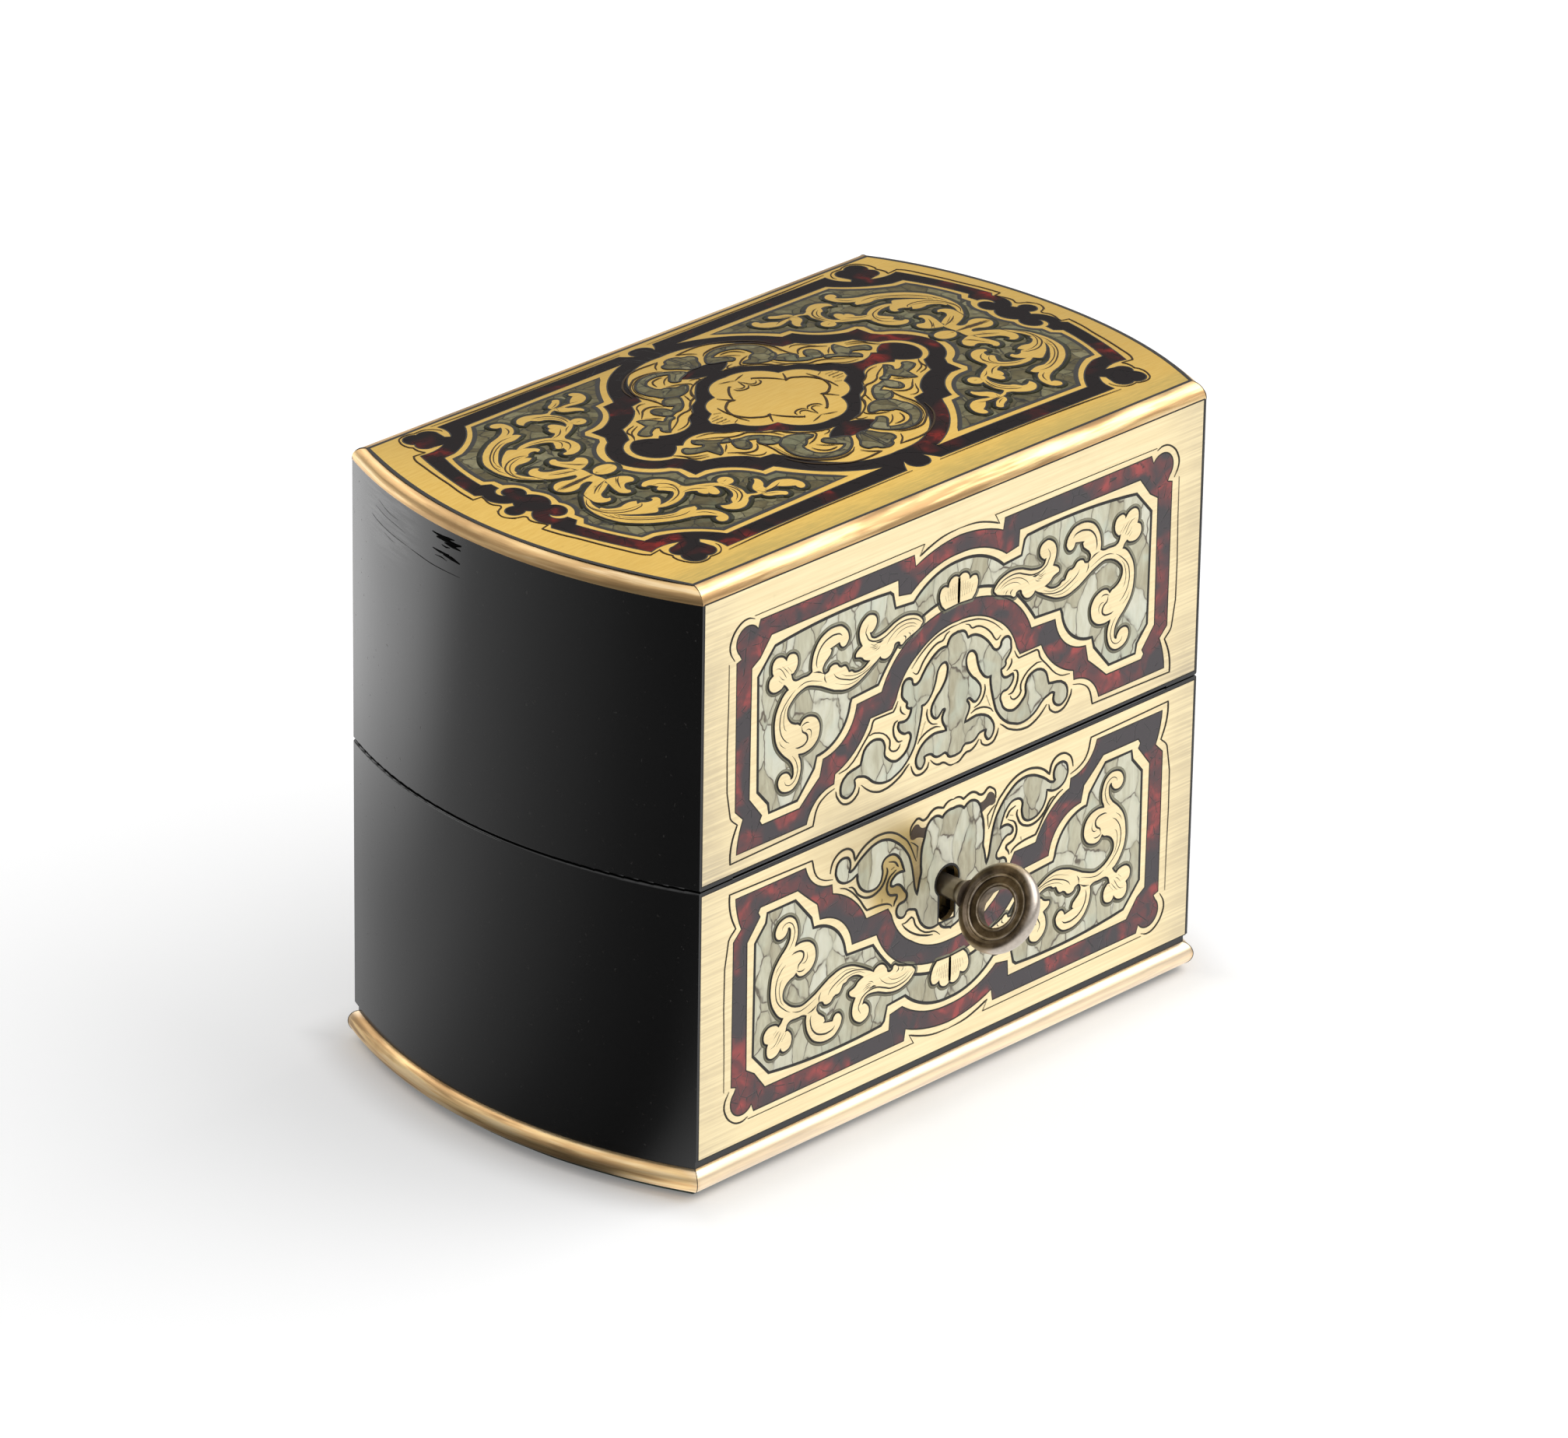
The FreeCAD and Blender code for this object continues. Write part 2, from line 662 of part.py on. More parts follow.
bolt_notch_half = 4.5
bolt_rise = 4.6                 # bolt's lower edge above the key's axis
staple_eye_height = 2.4
staple_toe = 1.1                # metal below the staple's eye
tongue_clear = 0.4


def bolt_bottom():
    return key_z + bolt_rise


def staple_bottom():
    return lid_rim - staple_drop


def lock_bolt():
    """Sliding bolt: a bar notched for the key's bit, with two tongues for the staples."""
    y0 = lock_middle - bolt_thickness / 2
    y1 = lock_middle + bolt_thickness / 2
    eye_low = staple_bottom() + staple_toe
    tongue_low = eye_low + tongue_clear
    tongue_high = eye_low + staple_eye_height - tongue_clear
    bar_top = staple_bottom() - 0.6
    left, right = staple_places()
    arm = 1.6
    gap = 0.5 + staple_thickness / 2
    arm_end = gap + bolt_travel - 0.4
    room = lock_half_width - lock_wall - bolt_end_gap
    bar = box(key_x - room + bolt_end_gap, key_x + room - bolt_travel, y0, y1,
              bolt_bottom(), bar_top)
    for x in (left, right):
        bar = bar.fuse(box(x - arm_end - arm, x - arm_end, y0, y1, bar_top, tongue_high))
        bar = bar.fuse(box(x - arm_end - arm, x - gap, y0, y1, tongue_low, tongue_high))
    middle = key_x - bolt_travel / 2
    notch = box(middle - bolt_notch_half, middle + bolt_notch_half, y0, y1,
                bolt_bottom(), key_z + bit_radius + 0.5)
    return bar.cut(notch).removeSplitter()


def strike_plate():
    half = lock_half_width
    plate = box(key_x - half, key_x + half, lock_middle - strike_front, lock_back, lid_rim,
                lid_rim + leaf_thickness)
    for x in staple_places():
        plate = plate.cut(box(x - staple_thickness / 2, x + staple_thickness / 2,
                              lock_middle - staple_width / 2,
                              lock_middle + staple_width / 2, lid_rim,
                              lid_rim + leaf_thickness))
    return plate


def strike_screw_places():
    reach = lock_half_width - strike_screw_inset
    return [(x, lock_middle) for x in (key_x - reach, key_x + staple_offset, key_x + reach)]


def staple(x):
    y0 = lock_middle - staple_width / 2
    y1 = lock_middle + staple_width / 2
    low = staple_bottom()
    solid = box(x - staple_thickness / 2, x + staple_thickness / 2, y0, y1, low,
                lid_rim + leaf_thickness)
    eye_half = bolt_thickness / 2 + 0.25
    eye_low = low + staple_toe
    return solid.cut(box(x - 1, x + 1, lock_middle - eye_half, lock_middle + eye_half,
                         eye_low, eye_low + staple_eye_height))


# Key

bore_depth = 6.0
key_tip_gap = 0.25


def key():
    """Hollow shank with a bit, a flared collar, and a dished ring for a bow."""
    tip = lock_cavity_back - key_tip_gap
    bow_y = front_face - key_reach
    start = bow_y + bow_radius - 0.8
    shank = drum(shank_radius, key_x, start, key_z, tip - start, (0, 1, 0))
    collar = Part.makeCone(shank_radius + 0.75, shank_radius, 1.8,
                           V(key_x, start, key_z), V(0, 1, 0))
    bit = box(key_x - bit_half, key_x + bit_half, lock_middle - bit_length / 2,
              lock_middle + bit_length / 2, key_z - bit_radius, key_z - shank_radius / 2)
    ward = box(key_x - 1, key_x + 1, lock_middle - 0.2, lock_middle + 0.2,
               key_z - bit_radius, key_z - bit_radius + 1.2)
    solid = shank.fuse([collar, bit.cut(ward)])
    solid = solid.cut(drum(drill_pin_radius + running_gap, key_x, tip - bore_depth, key_z,
                           bore_depth + 1, (0, 1, 0)))
    return solid.fuse(key_bow(bow_y)).removeSplitter()


def key_bow(bow_y):
    """Turned ring: a round rim, a wide groove and a small lip round the hole."""
    rim = bow_radius - bow_rim
    lip = bow_hole_radius
    half = [(lip, 0), (lip, bow_web + 0.12), (lip + 0.3, bow_web + 0.22),
            (lip + 0.8, bow_web), (rim - 0.95, bow_web), (rim - 0.5, bow_web + 0.45),
            (rim, bow_rim), (bow_radius, 0)]
    points = [V(0, radius, thick) for radius, thick in half]
    edges = [Part.makeLine(points[i], points[i + 1]) for i in range(6)]
    lean = math.sqrt(0.5) * bow_rim
    edges.append(Part.Arc(points[6], V(0, rim + lean, lean), points[7]).toShape())
    lower = [V(0, p.y, -p.z) for p in points]
    edges.append(Part.Arc(lower[7], V(0, rim + lean, -lean), lower[6]).toShape())
    edges += [Part.makeLine(lower[i + 1], lower[i]) for i in range(5, -1, -1)]
    section = Part.Face(Part.Wire(edges))
    ring = section.revolve(V(0, 0, 0), V(0, 0, 1), 360)
    ring.rotate(V(0, 0, 0), V(0, 1, 0), 90 + bow_turn)
    ring.translate(V(key_x, bow_y, key_z))
    return ring


def drill_pin():
    """Pin that the hollow key turns on, carried in the lock's back plate."""
    tip = lock_cavity_back - key_tip_gap - bore_depth + 0.5
    head = Part.makeCylinder(drill_pin_radius + 0.7, 0.15,
                             V(key_x, lock_back + 0.05, key_z), V(0, 1, 0))
    pin = drum(drill_pin_radius, key_x, tip, key_z, lock_back + 0.1 - tip, (0, 1, 0))
    return pin.fuse(head).removeSplitter()


# Inside of the box

def tray_top():
    return base_rim - tray_below_rim


def well_centres():
    return (-well_spacing / 2, well_spacing / 2)


def tray_middle_y():
    return (front_board_inner + back_board_inner) / 2


def tray_board():
    top = tray_top()
    board = box(-end_inner + lining_gap, end_inner - lining_gap,
                front_board_inner + lining_gap, back_board_inner - lining_gap,
                top - tray_board_thickness, top)
    y = tray_middle_y()
    for x in well_centres():
        board = board.cut(box(x - well_size / 2, x + well_size / 2, y - well_size / 2,
                              y + well_size / 2, top - tray_board_thickness, top))
    return board


def wells():
    """Four strips round each well, under the tray board."""
    y = tray_middle_y()
    inner = well_size / 2
    outer = inner + well_wall
    low = floor_z
    high = tray_top() - tray_board_thickness
    solids = []
    for x in well_centres():
        solids += [box(x - outer, x + outer, y - outer, y - inner, low, high),
                   box(x - outer, x + outer, y + inner, y + outer, low, high),
                   box(x - outer, x - inner, y - inner, y + inner, low, high),
                   box(x + inner, x + outer, y - inner, y + inner, low, high)]
    return group(solids)


def well_pads():
    y = tray_middle_y()
    half = well_size / 2
    return group([box(x - half, x + half, y - half, y + half, floor_z,
                      floor_z + pad_thickness) for x in well_centres()])


def octagon(x, y, half, corner_cut, z):
    c = corner_cut
    h = half
    path = [(x - h + c, y - h), (x + h - c, y - h), (x + h, y - h + c), (x + h, y + h - c),
            (x + h - c, y + h), (x - h + c, y + h), (x - h, y + h - c), (x - h, y - h + c)]
    shape = wire(path)
    shape.translate(V(0, 0, z))
    return shape


def bottle(x):
    """Square glass bottle with cut corners, a round neck and a ground seat."""
    y = tray_middle_y()
    foot = floor_z + pad_thickness
    half = bottle_width / 2
    shoulder = foot + bottle_body
    neck = shoulder + shoulder_height
    lip = neck + neck_height
    top = lip + lip_height
    body = Part.makeLoft([octagon(x, y, half, bottle_corner, foot),
                          octagon(x, y, half, bottle_corner, shoulder)], True, True)
    crown = Part.makeLoft([octagon(x, y, half, bottle_corner, shoulder),
                           octagon(x, y, neck_radius + 2, 5.8, neck)], True, True)
    solid = body.fuse([crown, drum(neck_radius, x, y, neck - 1, lip - neck + 1, (0, 0, 1)),
                       drum(lip_radius, x, y, lip, lip_height, (0, 0, 1))])
    cavity_top = shoulder - 1
    cavity = Part.makeLoft([
        octagon(x, y, half - bottle_wall, bottle_corner, foot + bottle_wall),
        octagon(x, y, half - bottle_wall, bottle_corner, cavity_top)], True, True)
    seat_low = top - plug_length - 1
    seat = Part.makeCone(plug_low_radius() + plug_gap, plug_radius + plug_gap,
                         plug_length, V(x, y, top - plug_length), V(0, 0, 1))
    throat = drum(plug_low_radius() + plug_gap, x, y, cavity_top - 1,
                  seat_low + 1 - cavity_top + 1, (0, 0, 1))
    solid = solid.cut(cavity.fuse([seat, throat]))
    return solid.removeSplitter()


def plug_low_radius():
    return plug_radius - plug_taper


def bottle_mouth():
    return (floor_z + pad_thickness + bottle_body + shoulder_height + neck_height
            + lip_height)


def stopper(x):
    """Ground plug under a faceted knob."""
    y = tray_middle_y()
    top = bottle_mouth() + plug_gap
    plug = Part.makeCone(plug_low_radius(), plug_radius, plug_length,
                         V(x, y, top - plug_length), V(0, 0, 1))
    flare = Part.makeLoft([octagon(x, y, plug_radius + 1, 3.4, top),
                           octagon(x, y, knob_radius, 5.5, top + knob_height * 0.45)],
                          True, True)
    crown = Part.makeLoft([octagon(x, y, knob_radius, 5.5, top + knob_height * 0.45),
                           octagon(x, y, knob_radius * 0.55, 3.5, top + knob_height)],
                          True, True)
    return flare.fuse([crown, plug]).removeSplitter()


def ceiling_pad():
    inset = lining_thickness + lining_gap
    return box(-end_inner + inset, end_inner - inset, front_board_inner + inset,
               back_board_inner - inset, ceiling - ceiling_pad_thickness, ceiling)


def wall_lining():
    """Four strips glued round the walls of the lid."""
    low = lid_rim + lining_above_rim
    t = lining_thickness
    y0, y1 = front_board_inner, back_board_inner
    return group([box(-end_inner, end_inner, y0, y0 + t, low, ceiling),
                  box(-end_inner, end_inner, y1 - t, y1, low, ceiling),
                  box(-end_inner, -end_inner + t, y0 + t, y1 - t, low, ceiling),
                  box(end_inner - t, end_inner, y0 + t, y1 - t, low, ceiling)])


def top_board():
    """Board of the lid's top: it fits between the walls and laps over them, domed."""
    core = box(-end_inner, end_inner, front_board_outer + wall, back_board_inner,
               ceiling, crown_bottom)
    lap = prism(body_outline(crown_inset_front, crown_inset_end), crown_bottom,
                top_edge + dome_rise)
    under = dome_slab(top_edge - marquetry_thickness, top_edge - ceiling)
    return core.fuse(lap.common(under)).removeSplitter()


nodes = {}

# Base
bottom = body_prism(foot_inset, foot_inset, felt_thickness, floor_z)
nodes["base_bottom_board"] = bottom
nodes["base_felt"] = body_prism(foot_inset + felt_inset, foot_inset + felt_inset, 0,
                                felt_thickness)
front = front_board(floor_z, base_rim, base_plate_top, base_rim, base_rim)
front = front.cut([lock_mortise(), keyhole(front_face - 1, front_board_inner + 1)])
for x, z in lock_screw_places():
    front = front.cut(lock_screw_cutter(x, z))
nodes["base_front_board"] = front
back = back_board(floor_z, base_rim, base_rim)
back = back.cut([hinge_mortise(side * hinge_x, False) for side in (-1, 1)])
for x, y in hinge_screw_places():
    back = back.cut(screw(x, y, base_rim, hinge_screw_length, (0, 0, -1),
                          hinge_screw_radius, screw_head_radius))
nodes["base_back_board"] = back
nodes["base_left_end"] = end_board(-1, floor_z, base_rim, floor_z, base_plate_top,
                                   base_rim)
nodes["base_right_end"] = end_board(1, floor_z, base_rim, floor_z, base_plate_top,
                                    base_rim)
field, fillet, band, ground = front_marquetry(base_plate_top, -1, floor_z, base_plate_top)
field = field.cut(keyhole(front_face - 1, front_board_outer + 1))
nodes["base_front_brass"] = group([field, fillet])
nodes["base_front_tortoiseshell"] = group([band])
nodes["base_front_pearl"] = group([ground])
for name, solid in foot_mouldings().items():
    nodes["base_moulding_" + name] = solid

# Lock, in the front board
nodes["lock_case"] = lock_case()
nodes["lock_cap"] = lock_cap()
nodes["lock_selvedge"] = lock_selvedge()
nodes["lock_screws"] = group([
    slotted(screw(x, lock_back, z, lock_screw_length, (0, -1, 0), lock_screw_radius,
                  screw_head_radius), x, lock_back, z, (0, -1, 0), screw_head_radius)
    for x, z in lock_screw_places()])
nodes["lock_bolt"] = lock_bolt()
nodes["lock_drill_pin"] = drill_pin()
nodes["key"] = key()

# Lid
lid_front = front_board(lid_rim, crown_bottom, lid_rim, lid_plate_bottom, lid_rim)
strike_bed = box(key_x - lock_half_width, key_x + lock_half_width, lock_middle - strike_front,
                 lock_back, lid_rim, lid_rim + leaf_thickness)
lid_front = lid_front.cut(strike_bed)
for x, y in strike_screw_places():
    lid_front = lid_front.cut(screw(x, y, lid_rim, hinge_screw_length, (0, 0, 1),
                                    hinge_screw_radius, screw_head_radius))
nodes["lid_front_board"] = lid_front
lid_back = back_board(lid_rim, crown_bottom, lid_rim)
lid_back = lid_back.cut([hinge_mortise(side * hinge_x, True) for side in (-1, 1)])
for x, y in hinge_screw_places():
    lid_back = lid_back.cut(screw(x, y, lid_rim, hinge_screw_length, (0, 0, 1),
                                  hinge_screw_radius, screw_head_radius))
nodes["lid_back_board"] = lid_back
nodes["lid_left_end"] = end_board(-1, lid_rim, crown_bottom, lid_plate_bottom,
                                  crown_bottom, lid_rim)
nodes["lid_right_end"] = end_board(1, lid_rim, crown_bottom, lid_plate_bottom,
                                   crown_bottom, lid_rim)
nodes["lid_top_board"] = top_board()
field, fillet, band, ground = front_marquetry(lid_plate_bottom, 1, lid_plate_bottom,
                                              crown_bottom)
nodes["lid_front_brass"] = group([field, fillet])
nodes["lid_front_tortoiseshell"] = group([band])
nodes["lid_front_pearl"] = group([ground])
brass, shell, pearl = top_marquetry()
nodes["lid_top_brass"] = group(brass)
nodes["lid_top_tortoiseshell"] = group(shell)
nodes["lid_top_pearl"] = group(pearl)
for name, solid in crown_mouldings().items():
    nodes["lid_moulding_" + name] = solid
nodes["lid_ceiling_pad"] = ceiling_pad()
nodes["lid_wall_lining"] = wall_lining()
strike = strike_plate()
for x, y in strike_screw_places():
    strike = strike.cut(screw(x, y, lid_rim, hinge_screw_length, (0, 0, 1),
                              hinge_screw_radius, screw_head_radius))
nodes["strike_plate"] = strike
nodes["strike_staples"] = group([staple(x) for x in staple_places()])
nodes["strike_screws"] = group([
    slotted(screw(x, y, lid_rim, hinge_screw_length, (0, 0, 1), hinge_screw_radius,
                  screw_head_radius), x, y, lid_rim, (0, 0, 1), screw_head_radius)
    for x, y in strike_screw_places()])

# Hinges
for upper, name in ((False, "base"), (True, "lid")):
    rim = lid_rim if upper else base_rim
    down = (0, 0, 1) if upper else (0, 0, -1)
    leaves = [hinge_leaf(side * hinge_x, upper) for side in (-1, 1)]
    for x, y in hinge_screw_places():
        cutter = screw(x, y, rim, hinge_screw_length, down, hinge_screw_radius,
                       screw_head_radius)
        leaves = [leaf.cut(cutter) for leaf in leaves]
    nodes["hinge_" + name + "_leaves"] = group(leaves)
    nodes["hinge_" + name + "_screws"] = group([
        slotted(screw(x, y, rim, hinge_screw_length, down, hinge_screw_radius,
                      screw_head_radius), x, y, rim, down, screw_head_radius)
        for x, y in hinge_screw_places()])
nodes["hinge_pins"] = group([
    drum(hinge_pin_radius, side * hinge_x - hinge_length / 2, hinge_y, hinge_z,
         hinge_length, (1, 0, 0)) for side in (-1, 1)])

# Inside
nodes["bottle_tray_board"] = tray_board()
nodes["bottle_wells"] = wells()
nodes["well_pads"] = well_pads()
for x, name in zip(well_centres(), ("left", "right")):
    nodes["bottle_" + name] = bottle(x)
    nodes["stopper_" + name] = stopper(x)

os.makedirs("parts", exist_ok=True)
for name, shape in nodes.items():
    if not shape.isValid() or shape.Volume <= 0:
        print("check", name, shape.isValid(), shape.Volume)
    shape.exportStep("parts/" + name + ".step")
print(len(nodes), "nodes")
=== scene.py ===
import math
import bmesh
import bpy
from mathutils import Matrix, Vector, noise


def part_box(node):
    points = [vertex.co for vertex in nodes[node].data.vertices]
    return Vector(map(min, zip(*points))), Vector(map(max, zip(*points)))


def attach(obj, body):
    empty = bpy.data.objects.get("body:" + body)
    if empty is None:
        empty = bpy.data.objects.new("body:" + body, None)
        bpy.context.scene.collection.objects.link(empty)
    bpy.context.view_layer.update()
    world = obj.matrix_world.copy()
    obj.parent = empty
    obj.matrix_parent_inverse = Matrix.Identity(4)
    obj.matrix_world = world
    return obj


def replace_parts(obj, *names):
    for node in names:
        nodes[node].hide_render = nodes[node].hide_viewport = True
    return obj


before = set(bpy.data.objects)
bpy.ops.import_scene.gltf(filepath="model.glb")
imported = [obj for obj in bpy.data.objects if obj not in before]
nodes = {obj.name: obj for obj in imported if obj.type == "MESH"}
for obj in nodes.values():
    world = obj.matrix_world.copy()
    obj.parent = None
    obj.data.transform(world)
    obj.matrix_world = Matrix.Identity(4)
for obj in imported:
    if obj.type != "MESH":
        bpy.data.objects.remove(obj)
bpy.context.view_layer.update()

mm = 0.001
scene = bpy.context.scene
scene.view_settings.view_transform = "Standard"
print("frame loaded:", len(nodes), "nodes")


# Shader maths: an expression on sockets adds the nodes it needs

class Shade:
    def __init__(self, tree, socket):
        self.tree = tree
        self.socket = socket

    def node(self, kind, settings, inputs, output=0):
        return addNode(self.tree, kind, settings, inputs, output)

    def math(self, operation, *values):
        inputs = dict(enumerate(values))
        return self.node("Math", {"operation": operation}, inputs)

    def __add__(self, other): return self.math("ADD", self, other)
    def __radd__(self, other): return self.math("ADD", other, self)
    def __sub__(self, other): return self.math("SUBTRACT", self, other)
    def __rsub__(self, other): return self.math("SUBTRACT", other, self)
    def __mul__(self, other): return self.math("MULTIPLY", self, other)
    def __rmul__(self, other): return self.math("MULTIPLY", other, self)
    def __truediv__(self, other): return self.math("DIVIDE", self, other)
    def __neg__(self): return self.math("MULTIPLY", self, -1.0)
    def __abs__(self): return self.math("ABSOLUTE", self)

    def step(self, low, high, start=0.0, end=1.0):
        # smooth ramp from start at low to end at high
        settings = {"interpolation_type": "SMOOTHSTEP"}
        inputs = {"Value": self, "From Min": low, "From Max": high,
                  "To Min": start, "To Max": end}
        return self.node("MapRange", settings, inputs)


def addNode(tree, kind, settings, inputs, output=0):
    node = tree.nodes.new("ShaderNode" + kind)
    for key, value in settings.items():
        if key == "stops":
            ramp = node.color_ramp
            while len(ramp.elements) < len(value):
                ramp.elements.new(0.5)
            for element, (place, colour) in zip(ramp.elements, value):
                element.position = place
                element.color = (*colour, 1.0)
        else:
            setattr(node, key, value)
    for key, value in inputs.items():
        if isinstance(value, Shade):
            tree.links.new(value.socket, node.inputs[key])
        else:
            node.inputs[key].default_value = value
    return Shade(tree, node.outputs[output] if node.outputs else None)


class Finish:
    # a material under construction
    def __init__(self, name):
        self.material = bpy.data.materials.new(name)
        self.material.use_nodes = True
        self.tree = self.material.node_tree
        self.tree.nodes.clear()

    def add(self, kind, settings=None, inputs=None, output=0):
        return addNode(self.tree, kind, settings or {}, inputs or {}, output)

    def place(self, scale=(1.0, 1.0, 1.0), turn=(0.0, 0.0, 0.0)):
        # object coordinates in millimetres, stretched and turned
        coordinates = self.add("TexCoord", output=3)
        inputs = {"Vector": coordinates, "Rotation": turn,
                  "Scale": tuple(1000.0 * value for value in scale)}
        return self.add("Mapping", {}, inputs)

    def noise(self, where, scale, detail=3.0, rough=0.55, warp=0.0):
        inputs = {"Vector": where, "Scale": scale, "Detail": detail,
                  "Roughness": rough, "Distortion": warp}
        return self.add("TexNoise", {}, inputs)

    def mottle(self, scale, *settings):
        # noise with one frequency, or one for each axis, in waves per millimetre
        scale = scale if isinstance(scale, tuple) else (scale,) * 3
        return self.noise(self.place(scale), 1.0, *settings)

    def away(self, spot):
        # distance in millimetres from one spot
        where = self.add("VectorMath", {"operation": "SUBTRACT"}, {0: self.place(), 1: spot})
        return self.add("VectorMath", {"operation": "LENGTH"}, {0: where}, 1)

    def cells(self, where, scale, feature="F1", output=0):
        inputs = {"Vector": where, "Scale": scale, "Randomness": 1.0}
        return self.add("TexVoronoi", {"feature": feature}, inputs, output)

    def mix(self, factor, first, second):
        first, second = [(*c, 1.0) if isinstance(c, tuple) else c for c in (first, second)]
        inputs = {0: factor, 6: first, 7: second}
        return self.add("Mix", {"data_type": "RGBA"}, inputs, 2)

    def ramp(self, value, stops):
        return self.add("ValToRGB", {"stops": stops}, {0: value})

    def split(self, where, axis):
        return self.add("SeparateXYZ", {}, {0: where}, axis)

    def bump(self, height, distance, strength=1.0):
        inputs = {"Height": height, "Distance": distance * mm, "Strength": strength}
        return self.add("Bump", {}, inputs)

    def surface(self, colour, **inputs):
        colour = (*colour, 1.0) if isinstance(colour, tuple) else colour
        values = {"Base Color": colour}
        for key, value in inputs.items():
            values[key.replace("_", " ")] = value
        shader = self.add("BsdfPrincipled", {}, values)
        self.add("OutputMaterial", {}, {"Surface": shader})
        return self.material


def brass(name, look):
    # brushed, a little tarnished, darker in patches and where the look marks it
    finish = Finish(name)
    where = finish.place()
    brush = look["brush"]
    streaks = finish.mottle(brush, 4.0, 0.6)
    fine = finish.mottle(tuple(4.0 * value for value in brush), 2.0)
    blotch = finish.mottle(0.045, 4.0, 0.6, 0.4)
    spots = finish.mottle(0.35, 2.0).step(0.68, 0.8)
    colour = finish.mix(streaks.step(0.3, 0.7), look["colour"], look["streak"])
    colour = finish.mix(blotch.step(0.5, 0.78) * look["tarnished"], colour, look["tarnish"])
    colour = finish.mix(spots * 0.25, colour, look["tarnish"])
    if "marks" in look:
        colour = look["marks"](finish, where, colour, streaks + blotch)
    rough = look["rough"] + (streaks - 0.5) * 0.18 + blotch.step(0.4, 0.8) * 0.08
    bump = finish.bump(streaks + fine * 0.6, look["depth"])
    return finish.surface(colour, Metallic=1.0, Roughness=rough, Normal=bump)


def frontMarksAndReflection(finish, where, colour, uneven):
    # dull towards the sides and along the lid plate's lower edge, and a painted yellow reflection by
    # the keyhole
    across = finish.split(where, 0)
    height = finish.split(where, 2)
    side = abs(across).step(50.0, 61.5)
    seam = height.step(58.8, 59.2) * height.step(59.5, 68.0, 1.0, 0.0)
    dull = (side * 0.6 + seam * 0.4) * uneven.step(0.75, 1.2, 0.3, 1.0)
    colour = finish.mix(dull, colour, (0.55, 0.47, 0.33))
    # painted reflection: a yellower patch left of the keyhole
    near = (abs(across + 14.5).step(3.5, 7.5, 1.0, 0.0)
            * abs(height - 46.5).step(5.0, 10.0, 1.0, 0.0))
    return finish.mix(near * 0.8, colour, (0.78, 0.58, 0.22))


def topMarks(finish, where, colour, uneven):
    # duller along the front margin
    depth = finish.split(where, 1)
    margin = depth.step(-37.0, -32.5, 1.0, 0.0)
    return finish.mix(margin * uneven.step(0.8, 1.2, 0.3, 0.8), colour, (0.56, 0.42, 0.12))


def mouldingMarksAndPaintedLight(finish, where, colour, uneven):
    # brown streaks along the length, with a lighter worn line here and there; painted shade on the
    # crown's ends and painted light on the foot's front and back
    streak = finish.mottle((0.035, 0.035, 0.75), 3.0, 0.6)
    colour = finish.mix(streak.step(0.46, 0.60) * 0.75, colour, (0.34, 0.20, 0.09))
    crown = finish.split(where, 2).step(100.0, 105.0)
    ends = abs(finish.split(where, 0)).step(62.0, 64.0)
    # painted shade: the crown moulding's ends are darkened
    colour = finish.mix(ends * crown * 0.45, colour, (0.42, 0.27, 0.12))
    # painted light: the foot moulding's front and back are lightened
    colour = finish.mix((1.0 - ends) * (1.0 - crown) * 0.6, colour, (1.0, 0.86, 0.66))
    return finish.mix(streak.step(0.36, 0.46, 1.0, 0.0) * 0.5, colour, (0.96, 0.78, 0.50))


brasses = {
    # painted light: the front plates' brass is paler and lighter than the top plate's, for the brighter
    # light on the front
    "frontBrass": {"colour": (0.93, 0.79, 0.49), "streak": (0.85, 0.70, 0.42),
                   "tarnish": (0.66, 0.53, 0.32), "tarnished": 0.3, "marks": frontMarksAndReflection,
                   "brush": (0.05, 2.2, 2.2), "rough": 0.34, "depth": 0.003},
    "topBrass": {"colour": (0.87, 0.575, 0.135), "streak": (0.79, 0.50, 0.10),
                 "tarnish": (0.50, 0.33, 0.07), "tarnished": 0.4, "marks": topMarks,
                 "brush": (0.25, 2.6, 2.6), "rough": 0.33, "depth": 0.002},
    "mouldingBrass": {"colour": (0.88, 0.64, 0.32), "streak": (0.74, 0.47, 0.22),
                      "tarnish": (0.30, 0.16, 0.07), "tarnished": 0.7, "marks": mouldingMarksAndPaintedLight,
                      "brush": (0.06, 0.06, 1.6), "rough": 0.40, "depth": 0.008},
    "fittingBrass": {"colour": (0.80, 0.60, 0.28), "streak": (0.72, 0.52, 0.22),
                     "tarnish": (0.34, 0.22, 0.09), "tarnished": 0.7,
                     "brush": (0.3, 0.3, 0.3), "rough": 0.33, "depth": 0.006},
}


def tortoiseshell(name, look):
    # near black, with clouded red patches that glow at their middle and short cracks
    finish = Finish(name)
    where = finish.place()
    patch = finish.mottle(0.07, 2.0, 0.5, 0.5)
    cloud = finish.mottle(0.22, 3.0, 0.5, 0.6)
    joints = finish.cells(where, 0.24, "DISTANCE_TO_EDGE").step(0.0, 0.022, 1.0, 0.0)
    broken = finish.noise(where, 0.5, 2.0).step(0.42, 0.55)
    red = patch.step(look["patch"], look["patch"] + 0.10)
    colour = finish.mix(red * cloud.step(0.25, 0.60), look["dark"], look["red"])
    colour = finish.mix(red * cloud.step(0.50, 0.72), colour, look["glow"])
    colour = finish.mix(joints * broken, colour, (0.004, 0.003, 0.003))
    bump = finish.bump(1.0 - joints * broken, 0.03)
    return finish.surface(colour, Roughness=look["rough"], Coat_Weight=look["coat"],
                          Coat_Roughness=0.12, IOR=look["ior"], Normal=bump)


